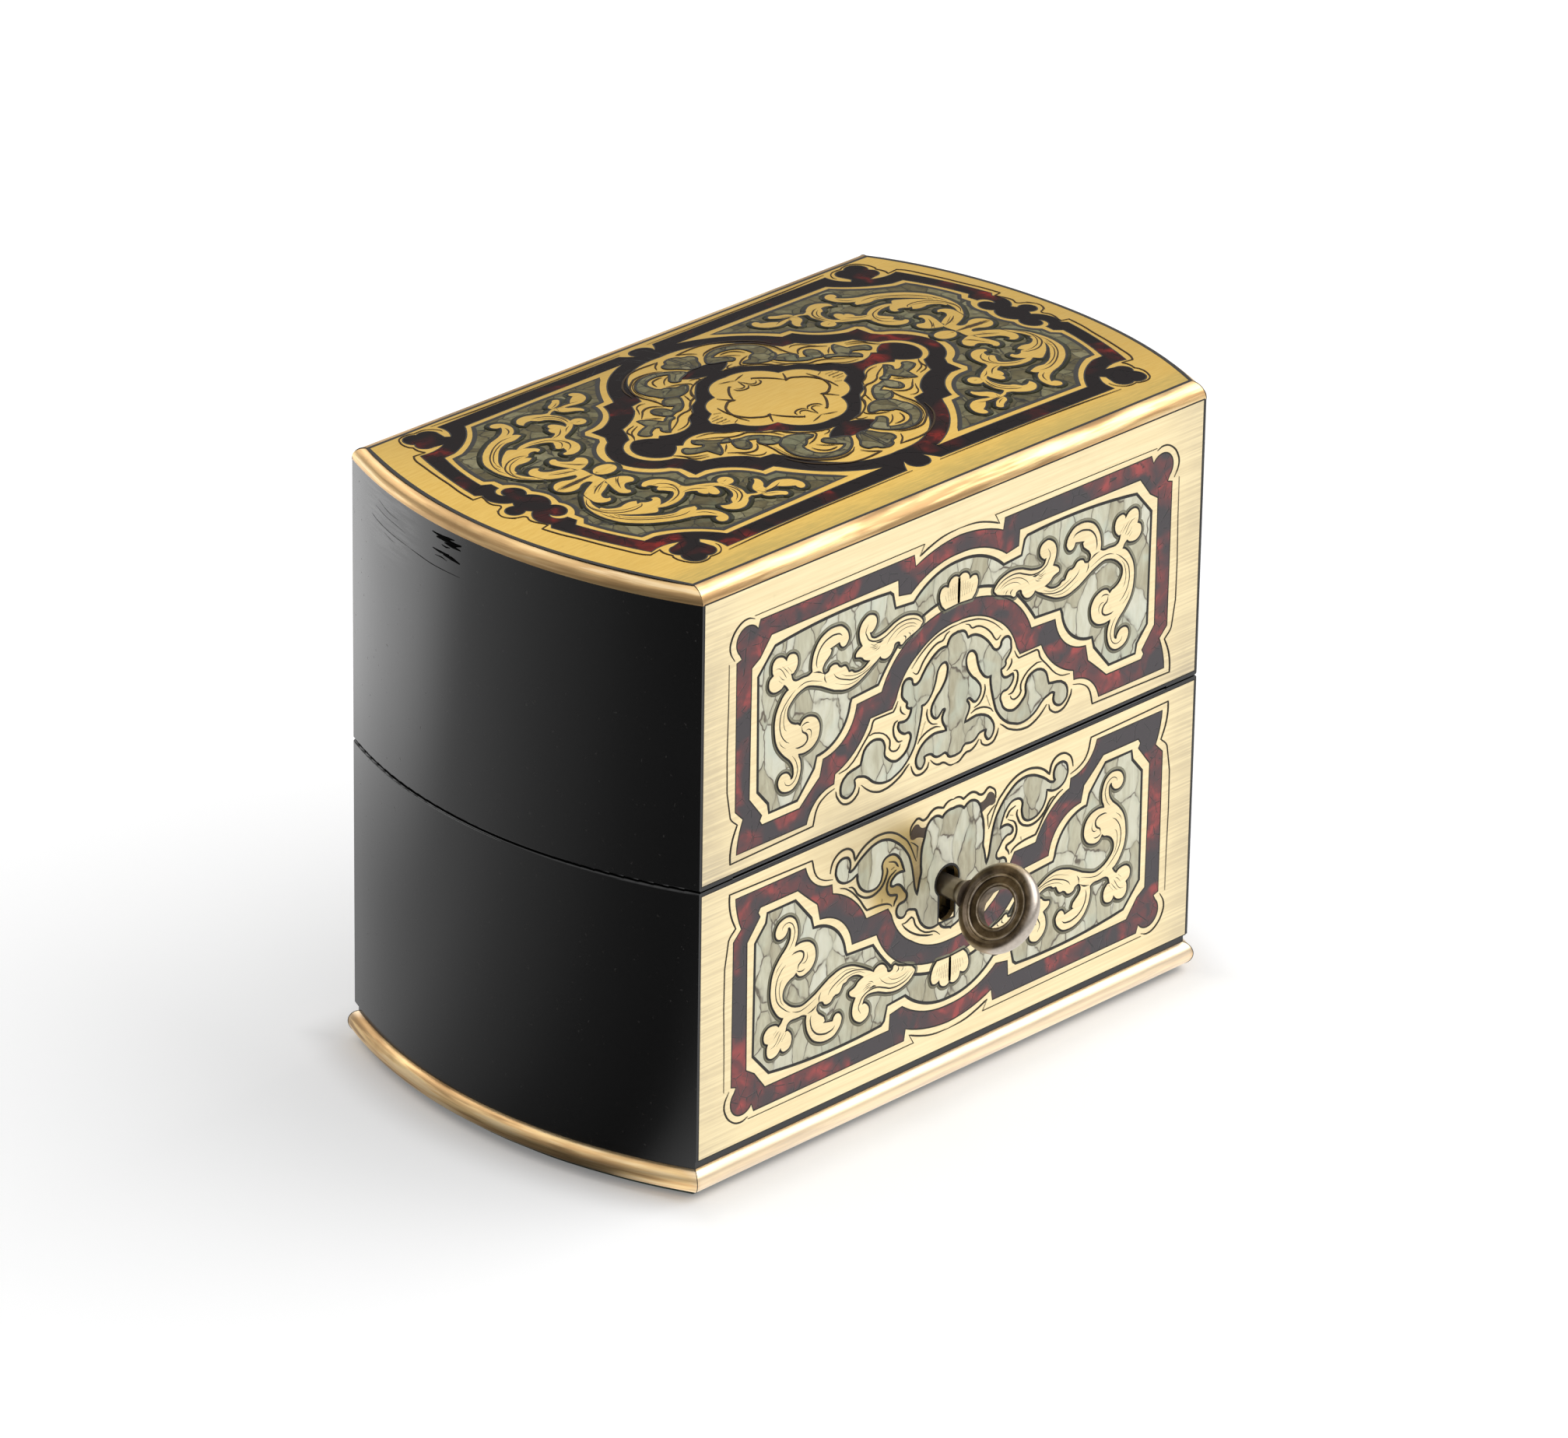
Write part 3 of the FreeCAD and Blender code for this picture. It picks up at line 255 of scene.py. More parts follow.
shells = {
    # painted reflection: the front shell is lighter and greyer than the top shell, for the glare on the
    # front
    "frontShell": {"dark": (0.042, 0.031, 0.036), "red": (0.18, 0.034, 0.034),
                   "glow": (0.46, 0.055, 0.05), "patch": 0.45, "rough": 0.24, "ior": 1.4, "coat": 0.25},
    "topShell": {"dark": (0.008, 0.004, 0.004), "red": (0.06, 0.006, 0.005),
                 "glow": (0.26, 0.016, 0.010), "patch": 0.52, "rough": 0.20, "ior": 1.12, "coat": 0.0},
}


def pearl(name, look):
    # a mosaic of small slips with dark joints, each slip its own tone
    finish = Finish(name)
    bend = finish.add("TexNoise", {}, {"Vector": finish.place(), "Scale": 0.3}, 1)
    push = finish.add("VectorMath", {"operation": "SCALE"}, {0: bend, "Scale": 1.6})
    where = finish.add("VectorMath", {"operation": "ADD"}, {0: finish.place(look["slip"]), 1: push})
    edge = finish.cells(where, look["cell"], "DISTANCE_TO_EDGE")
    tone = finish.split(finish.cells(where, look["cell"], output=1), 0)
    nacre = finish.mottle((0.5, 0.5, 0.14), 4.0, 0.6, 1.2)
    mixed = tone * 0.4 + nacre * 0.6
    colour = finish.ramp(mixed, look["stops"])
    sheen = finish.mottle(0.12, 2.0, 0.5, 0.8)
    colour = finish.mix(sheen.step(0.5, 0.75) * 0.5, colour, look["cool"])
    joint = edge.step(0.0, look["joint"], 1.0, 0.0)
    faint = edge.step(0.0, look["joint"] * 4.0, 0.35, 0.0)
    strong = finish.noise(where, 0.5).step(0.35, 0.6, 0.25, 1.0)
    colour = finish.mix(joint * strong + faint * 0.5, colour, look["line"])
    bump = finish.bump(edge.step(0.0, look["joint"] * 2.0), 0.02)
    return finish.surface(colour, Roughness=0.28, Coat_Weight=look["coat"],
                          Coat_Roughness=0.15, IOR=look["ior"], Normal=bump)


pearls = {
    # painted shade: the top pearl is far darker than the front pearl, the same nacre under darker light
    "frontPearl": {"slip": (1.0, 1.0, 0.5), "joint": 0.035, "cell": 0.23, "coat": 0.3,
                   "ior": 1.45,
                   "stops": [(0.25, (0.50, 0.45, 0.29)), (0.45, (0.69, 0.66, 0.47)),
                             (0.6, (0.83, 0.81, 0.62)), (0.8, (0.93, 0.92, 0.76))],
                   "cool": (0.70, 0.78, 0.64), "line": (0.13, 0.10, 0.06)},
    "topPearl": {"slip": (1.0, 1.0, 1.0), "joint": 0.05, "cell": 0.30, "coat": 0.0,
                 "ior": 1.2,
                 "stops": [(0.25, (0.070, 0.055, 0.019)), (0.45, (0.135, 0.110, 0.044)),
                           (0.6, (0.205, 0.180, 0.085)), (0.8, (0.30, 0.27, 0.15))],
                 "cool": (0.13, 0.155, 0.095), "line": (0.018, 0.016, 0.010)},
}


def ebonised(name, look):
    # black varnish over fine grain, slightly uneven
    finish = Finish(name)
    grain = finish.mottle((0.5, 0.05, 0.5), 4.0, 0.6)
    haze = finish.mottle(0.03, 3.0)
    specks = finish.mottle(1.2, 1.0).step(0.72, 0.8)
    colour = finish.mix(specks * 0.15, look["colour"], (0.10, 0.09, 0.08))
    rough = look["rough"] + (haze - 0.5) * 0.12 + specks * 0.2
    if "haze" in look:
        # partly worn varnish, partly painted sheen: a lighter grey patch near the top of the lid's end
        colour = finish.mix(hazeAndSheen(finish, look["haze"]) * 0.5, colour, (0.13, 0.13, 0.13))
    bump = finish.bump(grain, look["depth"])
    return finish.surface(colour, Roughness=rough, IOR=look["ior"], Normal=bump)


def hazeAndSheen(finish, spot):
    # a dulled patch round one spot, streaked along its length; its lighter grey is partly worn varnish
    # and partly painted sheen
    away = finish.away(spot)
    lines = finish.mottle((0.12, 0.12, 1.6), 3.0)
    return away.step(5.0, 12.0, 1.0, 0.0) * lines.step(0.40, 0.60)


blacks = {
    "blackLacquer": {"colour": (0.0055, 0.0055, 0.0055), "rough": 0.22, "ior": 1.5,
                     "depth": 0.003, "haze": (-67.5, 27.0, 108.5)},
    "scuff": {"colour": (0.0015, 0.0015, 0.0015), "rough": 0.6, "ior": 1.05, "depth": 0.01},
    "scratch": {"colour": (0.16, 0.16, 0.16), "rough": 0.5, "ior": 1.3, "depth": 0.01},
    "mastic": {"colour": (0.018, 0.016, 0.013), "rough": 0.5, "ior": 1.4, "depth": 0.01},
    "engraving": {"colour": (0.050, 0.045, 0.036), "rough": 0.6, "ior": 1.3, "depth": 0.01},
    "darkPocket": {"colour": (0.075, 0.050, 0.032), "rough": 0.3, "ior": 1.4, "depth": 0.02},
    # darker bands round the scrolls
    "frontGrime": {"colour": (0.33, 0.31, 0.21), "rough": 0.35, "ior": 1.4, "depth": 0.02},
    "topGrime": {"colour": (0.045, 0.045, 0.024), "rough": 0.35, "ior": 1.2, "depth": 0.02},
    "topEngraving": {"colour": (0.05, 0.028, 0.010), "rough": 0.6, "ior": 1.3, "depth": 0.01},
}


# The key's bow in millimetres, its turn in degrees, and its beads: each is the ring's radius,
# the height over the bow's middle plane and the thickness
keyBow = {"centre": (-1.2, -54.55, 38.8), "turn": 34.0,
          "beads": [(5.75, 0.95, 0.30), (4.1, 0.92, 0.20)]}


def agedBronze(name, look):
    # dark and pitted, with painted light along the shank, rubbed bright round the outside of the bow
    finish = Finish(name)
    worn = finish.mottle(0.25, 5.0, 0.65, 0.3)
    pits = finish.mottle(1.6, 3.0)
    colour = finish.mix(worn.step(0.4, 0.65), look["dark"], look["light"])
    away = finish.away(keyBow["centre"])
    # painted light: the shank is lightened where it lies in shade
    colour = finish.mix(away.step(8.6, 9.4) * 0.6, colour, (0.42, 0.36, 0.28))
    rubbed = away.step(7.3, 8.0) * away.step(8.3, 9.0, 1.0, 0.0)
    colour = finish.mix(rubbed * (0.55 + pits * 0.5), colour, (0.62, 0.55, 0.48))
    bump = finish.bump(pits + worn, 0.03)
    return finish.surface(colour, Metallic=0.9, Roughness=look["rough"] + worn * 0.2, Normal=bump)


bronzes = {
    "bronze": {"dark": (0.075, 0.055, 0.036), "light": (0.19, 0.145, 0.10), "rough": 0.22},
    "wornBronze": {"dark": (0.16, 0.125, 0.085), "light": (0.46, 0.39, 0.32), "rough": 0.2},
}


def steel(name):
    finish = Finish(name)
    lines = finish.mottle((0.1, 0.9, 0.9), 3.0)
    stain = finish.mottle(0.2, 3.0)
    colour = finish.mix(stain.step(0.5, 0.7), (0.42, 0.42, 0.43), (0.24, 0.21, 0.19))
    return finish.surface(colour, Metallic=1.0, Roughness=0.3 + lines * 0.2,
                          Normal=finish.bump(lines, 0.006))


def cloth(name, colour, shade, thread):
    # woven pile with a soft sheen
    finish = Finish(name)
    weave = finish.mottle(thread, 2.0)
    crush = finish.mottle(0.08, 3.0, 0.6, 0.5)
    mixed = finish.mix(crush.step(0.35, 0.7), colour, shade)
    mixed = finish.mix(weave * 0.35, mixed, shade)
    return finish.surface(mixed, Roughness=0.85, Sheen_Weight=0.4, Sheen_Roughness=0.4,
                          Normal=finish.bump(weave, 0.06))


def clearGlass(name):
    finish = Finish(name)
    ripple = finish.mottle(0.06, 2.0)
    return finish.surface((0.95, 0.98, 0.97), Roughness=0.02, IOR=1.5,
                          Transmission_Weight=1.0, Normal=finish.bump(ripple, 0.05))


finishes = {}
for maker, looks in ((brass, brasses), (tortoiseshell, shells), (pearl, pearls),
                     (ebonised, blacks), (agedBronze, bronzes)):
    for title, look in looks.items():
        finishes[title] = maker(title, look)
finishes["steel"] = steel("lockSteel")
finishes["velvet"] = cloth("redVelvet", (0.30, 0.018, 0.022), (0.14, 0.008, 0.012), 2.2)
finishes["felt"] = cloth("greenFelt", (0.03, 0.06, 0.035), (0.015, 0.03, 0.02), 1.5)
finishes["gimp"] = cloth("goldGimp", (0.55, 0.36, 0.10), (0.28, 0.16, 0.04), 3.0)
finishes["glass"] = clearGlass("bottleGlass")
print("materials:", len(finishes))

nodeFinish = {
    "base_front_brass": "frontBrass", "lid_front_brass": "frontBrass",
    "lid_top_brass": "topBrass", "base_front_tortoiseshell": "frontShell",
    "lid_front_tortoiseshell": "frontShell", "lid_top_tortoiseshell": "topShell",
    "base_front_pearl": "frontPearl", "lid_front_pearl": "frontPearl",
    "lid_top_pearl": "topPearl", "key": "bronze", "lock_case": "steel",
    "lock_screws": "steel", "lock_bolt": "steel", "lock_drill_pin": "steel",
    "strike_screws": "steel", "base_felt": "felt",
}
prefixFinish = {
    "base_moulding": "mouldingBrass", "lid_moulding": "mouldingBrass",
    "hinge_": "fittingBrass", "lock_": "fittingBrass", "strike_": "fittingBrass",
    "bottle_tray": "velvet", "bottle_wells": "velvet", "well_pads": "velvet",
    "lid_ceiling": "velvet", "lid_wall_lining": "velvet", "bottle_": "glass",
    "stopper_": "glass", "base_": "blackLacquer", "lid_": "blackLacquer",
}
for nodeName, node in nodes.items():
    title = nodeFinish.get(nodeName)
    if title is None:
        title = next(t for prefix, t in prefixFinish.items() if nodeName.startswith(prefix))
    for holder in node.material_slots:
        holder.material = finishes[title]
print("CAD nodes painted")

# Ornament, drawn in half or quarter patterns in millimetres. On the front plates a point is x
# from the middle and height from the seam, on the top it is u towards an end and v towards
# the front. A third value marks a sharp point. A stroke is its width and its points.

frontScroll = [
    (-13.2, 30.2), (-14.2, 29.7), (-14.6, 30.4), (-15.8, 30.4), (-16.1, 29.6), (-17.4, 28.4),
    (-18.9, 28.7), (-19.3, 29.2, 1), (-23.1, 26.9), (-25.6, 25.9), (-28.5, 25.9), (-35.7, 29.1),
    (-37.7, 29.4), (-41.3, 27.4), (-42, 25.9), (-41.4, 24.1), (-40, 23.1), (-39.3, 22.9),
    (-38.7, 22.4, 1), (-37.8, 23.4), (-35.9, 23.3), (-34.4, 22.1), (-34, 20.1), (-35, 18.1),
    (-37.3, 17.2), (-39.1, 17.4, 1), (-39, 16.8), (-38.6, 15.9), (-38.6, 13.6), (-39.8, 11.6),
    (-41.8, 11.2), (-43.6, 12.4), (-43.6, 14.2), (-42.2, 14.7), (-41, 13.7), (-40.9, 13.1, 1),
    (-40.4, 13.2), (-40.1, 14.5), (-40.6, 16.2), (-42.9, 18.6), (-44.2, 20.5), (-44.8, 23),
    (-44.7, 25.9), (-43.8, 28), (-42.4, 29.7), (-41.6, 30.1, 1), (-42.2, 31), (-42.8, 31.5, 1),
    (-43.6, 30.9), (-45.9, 31.2), (-46.3, 33.1), (-45.3, 33.9, 1), (-45.6, 34.7), (-45.1, 36.6),
    (-43.4, 36.7), (-42.2, 35.6, 1), (-42, 36.2), (-41.2, 36.6), (-39.7, 35.6), (-40.5, 33),
    (-41.2, 33, 1), (-40.5, 31.4), (-38, 31.2), (-36.8, 31.2), (-35.9, 31.6, 1), (-36, 33),
    (-35.1, 35.8), (-33.2, 37.6), (-29.9, 38.1), (-28.5, 37.5), (-27.2, 35.4), (-27.5, 34.5),
    (-28.1, 34), (-28.8, 34.1), (-29.4, 35.1, 1), (-31.8, 34.6, 1), (-31.4, 34.2), (-33.5, 31.6),
    (-33.3, 30.5), (-32.9, 30.1, 1), (-31.9, 30.4), (-31.5, 31), (-30.1, 31.1), (-29.4, 30.4),
    (-28.8, 30.1, 1), (-28, 30.1), (-27.4, 29.4), (-27, 28.7), (-26.3, 28.6), (-25.6, 28.1),
    (-23.6, 28.1), (-21.7, 29.2, 1), (-23.2, 29.8), (-23.8, 30.4), (-25.3, 30.9, 1),
    (-25.3, 31.4), (-23.7, 32.5, 1), (-24.4, 34.1), (-24.3, 36.1), (-22.9, 37.5), (-22, 37.7),
    (-20.4, 36.5), (-21.4, 34.5), (-22.1, 34.5, 1), (-21.4, 33.2), (-19.3, 33), (-14.8, 34.5),
    (-12.1, 34.5), (-9.2, 32.9), (-9, 32.2)]

palmette = [
    (0.3, 33, 1), (-3.3, 32.8, 1), (-4.3, 34), (-4.5, 36.5), (-3.7, 37), (-2.6, 36.6, 1),
    (-2.3, 37.6), (-1.3, 38.2), (-0.4, 38), (0, 37.6, 1), (0.3, 37.8, 1)]

lidPearl = [
    (0, 27.5), (-1.7, 27.1), (-2.6, 25.6, 1), (-3.6, 25.7), (-4.9, 25.4), (-7.4, 23.6),
    (-8.5, 22.3), (-9.4, 21.2), (-10.3, 20.9), (-11, 21.3), (-11.3, 22.2), (-12.6, 22.6),
    (-13.4, 21.9), (-13.6, 20.8), (-13.6, 19.7), (-13, 18.8), (-12.3, 18), (-12.4, 17.5),
    (-12, 17), (-11.2, 16.8, 1), (-11.5, 15.7), (-12.3, 14.9), (-14.3, 15, 1), (-14.4, 14),
    (-13, 12.5), (-11.7, 12.3), (-11.2, 11.4), (-11.5, 10.4), (-12.1, 9.2), (-14.1, 8),
    (-15.2, 8), (-17.1, 9.2), (-17.7, 10), (-17.7, 11.8), (-18.9, 13.4), (-22.2, 13.1),
    (-23.6, 10.1, 1), (-27.7, 8.8), (-28.4, 6.3), (-27.6, 5.3), (-26.5, 5), (-25, 6.2),
    (-25.1, 7.8, 1), (-24.4, 8.1), (-23.5, 7.9), (-22.4, 7.5), (-19.8, 5.5), (-16.6, 4.8),
    (-14.8, 5.3), (-13, 6.2), (-10.5, 8.9), (-9.8, 10.6), (-8.6, 15.8), (-8.7, 16.4, 1),
    (-7.8, 16.4), (-6.2, 17.9), (-5.4, 19.6), (-4.5, 22.2), (-3.3, 22.8), (-2.6, 22.4),
    (-2.4, 20.4), (-3.8, 17.9), (-4.9, 16.9), (-6.2, 14.7), (-5.3, 12.9), (-4.6, 12.8),
    (-4, 13.3), (-3.4, 13.9, 1), (-2.8, 13.8), (-3.2, 13), (-3.4, 12.3), (-3.1, 11.2),
    (-2.6, 10.4), (-2.3, 9.6, 1), (-6.3, 9.8), (-9.5, 7.3), (-9.6, 5.3), (-8.5, 4.4), (-7.9, 4.9),
    (-7.6, 5.7), (-7.8, 6.4, 1), (-7.1, 6.5), (-6, 6.3), (-5.3, 5.7), (-4.4, 5.3), (-2.6, 5.5, 1),
    (-2, 5.1), (-1.5, 4.4), (0, 4.1)]

basePearl = [
    (0, 27.2), (-2.3, 26.3), (-2.8, 25.5, 1), (-5.2, 25.6), (-7.3, 24.2), (-8.5, 21.9),
    (-9, 20.8), (-9.8, 20.4), (-11.3, 20.2), (-11.6, 20.7), (-12.3, 21.1), (-13.7, 20.2),
    (-13.5, 18.5), (-11.5, 17.9), (-11.3, 16.9), (-11.8, 16.2), (-13.1, 14.6), (-14, 14.2),
    (-15, 14.2), (-15.4, 13.8), (-14.4, 12.4), (-13.3, 12.1), (-12, 12.3, 1), (-13.8, 8.8),
    (-15.8, 7.9), (-17.6, 8.8), (-17.6, 10.9), (-18.4, 12.7), (-20.4, 13.2), (-22.5, 12.3),
    (-23.7, 10.4), (-23.9, 8.8, 1), (-25.7, 9.5), (-28, 9), (-29.1, 7.5), (-29.2, 6.6),
    (-28.5, 5), (-26.8, 4.7), (-26, 5.2), (-25.7, 7), (-26, 7.6, 1), (-25.5, 7.8), (-22.9, 6.1),
    (-19.7, 4.6), (-17, 4.6), (-14.7, 5.7), (-11.4, 9.1), (-10.4, 11.4), (-9.8, 14.1),
    (-9.3, 16.7), (-8.7, 18, 1), (-8.1, 15.1), (-7.8, 14.1), (-7.9, 12.5), (-7.7, 9.3),
    (-7.2, 7.8, 1), (-6.4, 5.4), (-4.8, 4.4), (-3.8, 4.5), (-2.7, 5.2, 1), (-2.2, 4.7),
    (-1.1, 4.3), (0, 4.3)]

basePocket = [
    (-10.7, 6), (-9.8, 4.5), (-8.9, 4.4), (-8.2, 5.2), (-7.1, 5.6), (-6.6, 5.4, 1), (-6.6, 6.3),
    (-7.2, 7.6, 1), (-9.1, 6.9), (-10, 7), (-10.6, 6.7)]

topScrolls = {
    "stem": [
        (53.6, -0.3), (53.7, 0), (52.7, 1.7), (50.7, 2.1), (48.8, 1.2), (47.4, 1.4),
        (47.1, 2.1, 1), (51, 4), (53.4, 6.4), (55, 9.2), (55, 15.1), (53.4, 18.2), (48.3, 22.1),
        (43.7, 23.8), (41.7, 25.5), (41.3, 26.2, 1), (42.1, 26.4), (42.3, 27.9), (40.6, 27.9),
        (39.9, 25.7), (41, 23.3), (42.6, 22.1, 1), (41.9, 21.7), (41.6, 20.9, 1), (43.9, 20.2),
        (46.1, 20.3), (51.4, 16.5), (53, 14.3), (53.6, 11.4), (53.3, 8.3), (52.7, 7.1, 1),
        (51.9, 5.8), (48.3, 4), (46.4, 3.7), (45, 3.3, 1), (44.9, 2), (45.1, 0.3), (45, -0.3)],
    "finger": [
        (51.9, 4.9), (52.2, 6.3), (52.1, 8.3), (50.5, 9.3), (49.7, 9), (49.4, 8.5, 1), (50, 8.3),
        (49.9, 6.9), (47.6, 5.5), (45.9, 4.5, 1), (45.9, 3.4, 1), (48.3, 3.4, 1)],
    "twinFinger": [
        (45, 3.1), (46, 5.1), (46.8, 7.5), (46.8, 8.6), (45.5, 9.5), (45, 9, 1), (45.2, 8.3),
        (44.3, 6.8), (43.6, 6.4, 1), (42.8, 6.6), (42.2, 6.8), (41.3, 5.7), (42.1, 4.1),
        (42.7, 3.7, 1), (44.4, 3.1)],
    "innerLeaf": [
        (53.4, 10.1), (52.7, 11.2), (50.7, 12.3), (49.7, 12.1), (48.3, 12.1), (47.2, 12.6, 1),
        (48, 13.6, 1), (47.1, 13.6), (46.4, 14.2), (45, 14.3), (44.7, 13.6, 1), (43.8, 14.1),
        (44.7, 15.9), (46.5, 17, 1), (47.6, 18), (48.5, 17.7), (52.8, 14.1), (53.6, 12.6, 1)],
    "curl": [
        (46.7, 16.9, 1), (44.7, 17.7), (40.4, 17), (38.3, 14.9), (37.6, 11.9), (38.7, 9.4),
        (41, 8.4), (42, 8.7), (42.6, 9.4), (42.3, 9.9, 1), (41.5, 9.9), (40.7, 11.4, 1),
        (41.7, 12.1), (41.1, 13.1), (40.3, 14.4, 1), (40.7, 15.1), (43.4, 16.4), (45.9, 16.5, 1)],
    "vine": [
        (38.3, 13.1), (37.4, 14.6), (35.3, 15.6), (32.9, 17.1), (32, 18.2), (31.3, 21.8),
        (31.9, 23.9), (31.6, 24.5, 1), (32.6, 24.8), (33.6, 25.7), (36.2, 26.7), (38.2, 25.5),
        (38.5, 24.5), (38.3, 23.7, 1), (37, 24.4), (35.9, 24.3, 1), (35, 23), (34.2, 22.7),
        (32.9, 20.6), (33.1, 18.5), (34.1, 17.6, 1), (34.2, 18.9), (35.4, 20.4), (36.3, 19.4),
        (36, 18.6, 1), (36.6, 19.1), (37.4, 17.9), (37.2, 17.1, 1), (37.9, 16.5), (38.9, 16.1),
        (39.6, 15.9)],
    "upLeaf": [
        (29.9, 25.1), (29.9, 23.9), (29.6, 22.8), (27.3, 21), (27, 20.4, 1), (26.5, 20.8),
        (26.8, 22.5), (27.9, 23.9), (27.7, 24.4, 1), (28.5, 25)],
    "hookLeaf": [
        (32, 23.7, 1), (30.4, 24.5), (27.7, 24.2), (25.1, 23.5), (23.8, 23.6), (21.8, 25.4),
        (21.9, 27.7), (23.1, 28.1), (23.4, 27.5, 1), (23.3, 26.8, 1), (24.7, 26), (25.9, 24.9, 1),
        (27, 25.1), (28.5, 25.1), (29.9, 25.2), (31.6, 24.5)],
    "lowLeaf": [
        (29.9, 25.3, 1), (27.5, 26), (26.1, 27.3, 1), (26.2, 27.9), (26.9, 28.2), (27.5, 27.7),
        (28.5, 27.1), (29.4, 26.7), (29.9, 26)],
}

topPockets = {
    "leafPocket": [
        (28.3, 5.6), (27.3, 4), (26.7, 4.2), (26.3, 4.8), (23.7, 5.4), (24.4, 4), (24.3, 3.2),
        (23.7, 2.6, 1), (22.2, 4.3), (20.2, 6), (18.8, 6.6), (19.5, 7.5, 1), (20.4, 7.1),
        (21.4, 6.6), (21.8, 7.3), (23.6, 9.7), (24.4, 10, 1), (24.8, 7.3, 1), (27.9, 6.1)],
    "eyePocket": [
        (18.5, 7.4, 1), (17.1, 7.9), (15.6, 8.1), (12.4, 11.2), (12, 12.3), (12.7, 13.1),
        (13.8, 13.4, 1), (14.9, 13.1), (16.1, 11.5), (16, 10.8), (15.1, 10, 1), (17, 9, 1),
        (17.6, 10.7), (19.1, 11.6), (20.2, 10.1), (19.9, 9), (19.4, 8)],
    "moonPocket": [
        (13.2, 13.4), (12, 12.7), (9.4, 13), (7.4, 14.6), (7, 15.2, 1), (7.7, 15.6), (9, 15.7),
        (9.8, 16.4), (10.7, 17), (11.5, 17.2), (11.9, 19.5), (11.4, 20.8), (9.2, 22.1),
        (6.3, 21.8), (5.3, 21.2, 1), (6.4, 20.1), (7.7, 18.4), (7.4, 17.7), (6.5, 17.4, 1),
        (5.4, 18.2), (3, 19.3), (2.7, 19.8, 1), (3.3, 20.8), (5.7, 22.9), (8.8, 23.6),
        (12.2, 22.4), (14.6, 19.7), (14.9, 16.9), (14.4, 15.5), (14.1, 14.3)],
    "frontPocket": [
        (3.7, 24), (3.5, 23.2), (2.5, 22.1), (1.1, 20), (-0.3, 19.7, 1), (-0.3, 26.7, 1),
        (1.4, 26.2), (1.8, 25.5, 1), (2.5, 25.1), (3.3, 24.9)],
}

scrollLines = [
    (0.35, [(-34.8, 32), (-35, 33), (-33.9, 35.6), (-31.4, 36.8), (-30.3, 36.8), (-29.4, 36.6),
         (-28.8, 36.1)]),
    (0.25, [(-40, 29.6), (-41.3, 28.7), (-43.2, 26.6), (-43.6, 25.3), (-43.5, 22.8), (-42.2, 20.7),
         (-41.3, 20.1)]),
    (0.15, [(-41.6, 27.8), (-42.4, 26.6), (-42.5, 23.1), (-42, 22.6)]),
    (0.15, [(-43.8, 21.2), (-43.3, 20.3), (-42.1, 19.3)]),
    (0.2, [(-39.5, 29.7), (-38.4, 30.1), (-37.1, 30.2), (-33.5, 29.1)]),
    (0.35, [(-35.7, 31.4), (-34.4, 31.1), (-33.2, 30.4)]),
    (0.3, [(-32.9, 30.2), (-32.9, 29.3), (-32.4, 28.4)]),
    (0.25, [(-30.7, 29.6), (-30.1, 28.8), (-27.6, 27.5), (-25.8, 27), (-22.3, 27.6), (-20.2, 28.6)]),
    (0.12, [(-28.8, 28.9), (-27.6, 28.2), (-24.3, 27.6), (-22.7, 27.9), (-21.4, 28.6)]),
    (0.12, [(-30.3, 27.6), (-26.8, 26.4), (-25, 26.5), (-23.6, 26.9)]),
    (0.4, [(-38.3, 22.1), (-38.1, 21.2), (-37.3, 20.6), (-36.9, 19.9), (-37.1, 19), (-39.1, 18.5),
         (-39.8, 18.7)]),
    (0.2, [(-37.3, 21.2), (-36.6, 21.2), (-36, 20.6), (-36.1, 19.3)]),
    (0.25, [(-38.6, 22.1), (-37.9, 22.5), (-37, 22.6), (-36.5, 22.4)]),
    (0.2, [(-42.3, 13.2), (-42, 12.5), (-40.4, 12.3), (-39.2, 14.2), (-39.3, 15.2), (-39.8, 16.5),
         (-40.6, 17.5)]),
    (0.15, [(-44.8, 35), (-43.8, 34.7), (-42.5, 33), (-42.2, 32.5)]),
    (0.15, [(-43.3, 35), (-42.4, 34.1), (-41.5, 33)]),
    (0.15, [(-42, 34.5), (-40.9, 33.2)]),
    (0.15, [(-44, 33.5), (-43.1, 32.5), (-42.6, 32.3)]),
    (0.15, [(-44.1, 32.6), (-43.3, 31.9)]),
    (0.3, [(-22.4, 36.1), (-23, 34.8), (-22.7, 34), (-22, 33), (-19.1, 32.3), (-16.4, 33.2),
         (-15, 33.8), (-11.9, 33.8), (-10.5, 33.3), (-9.2, 32.4)]),
    (0.4, [(-20.5, 32.1), (-19.3, 31.9), (-18.6, 32.1)]),
    (0.15, [(-21.8, 32.2), (-20.7, 31.7), (-19.8, 31.9)]),
    (0.15, [(-22, 31.7), (-20.9, 31.4), (-20, 31.4)]),
    (0.15, [(-21.4, 31.2), (-20.5, 31), (-19.8, 31.2)]),
    (0.15, [(-20.7, 30.6), (-19.8, 30.8), (-19.3, 31.2)]),
    (0.15, [(-17.8, 30.8), (-17.1, 31.7), (-14.4, 33.1), (-11.4, 32.9), (-10.3, 32.2)]),
    (0.12, [(-15.7, 31.4), (-14.6, 32.2), (-11.7, 32.4), (-10.6, 31.9)]),
    (0.3, [(-13.7, 31.2), (-13.1, 30.8), (-13.2, 30.2)]),
    (0.2, [(-12.5, 31.4), (-12, 31.1), (-11.9, 30.5)]),
    (0.15, [(-11.5, 31.5), (-11.2, 31.2)]),
    *[(0.15, [(-0.3 - 0.55 * k, 33.8 + 0.08 * k), (-0.34 - 0.62 * k, 36.9 - 0.06 * k * k)])
      for k in range(6)],
    *[(0.1, [(-0.58 - 0.58 * k, 35.0), (-0.62 - 0.62 * k, 36.6 - 0.2 * k)]) for k in range(4)],
]

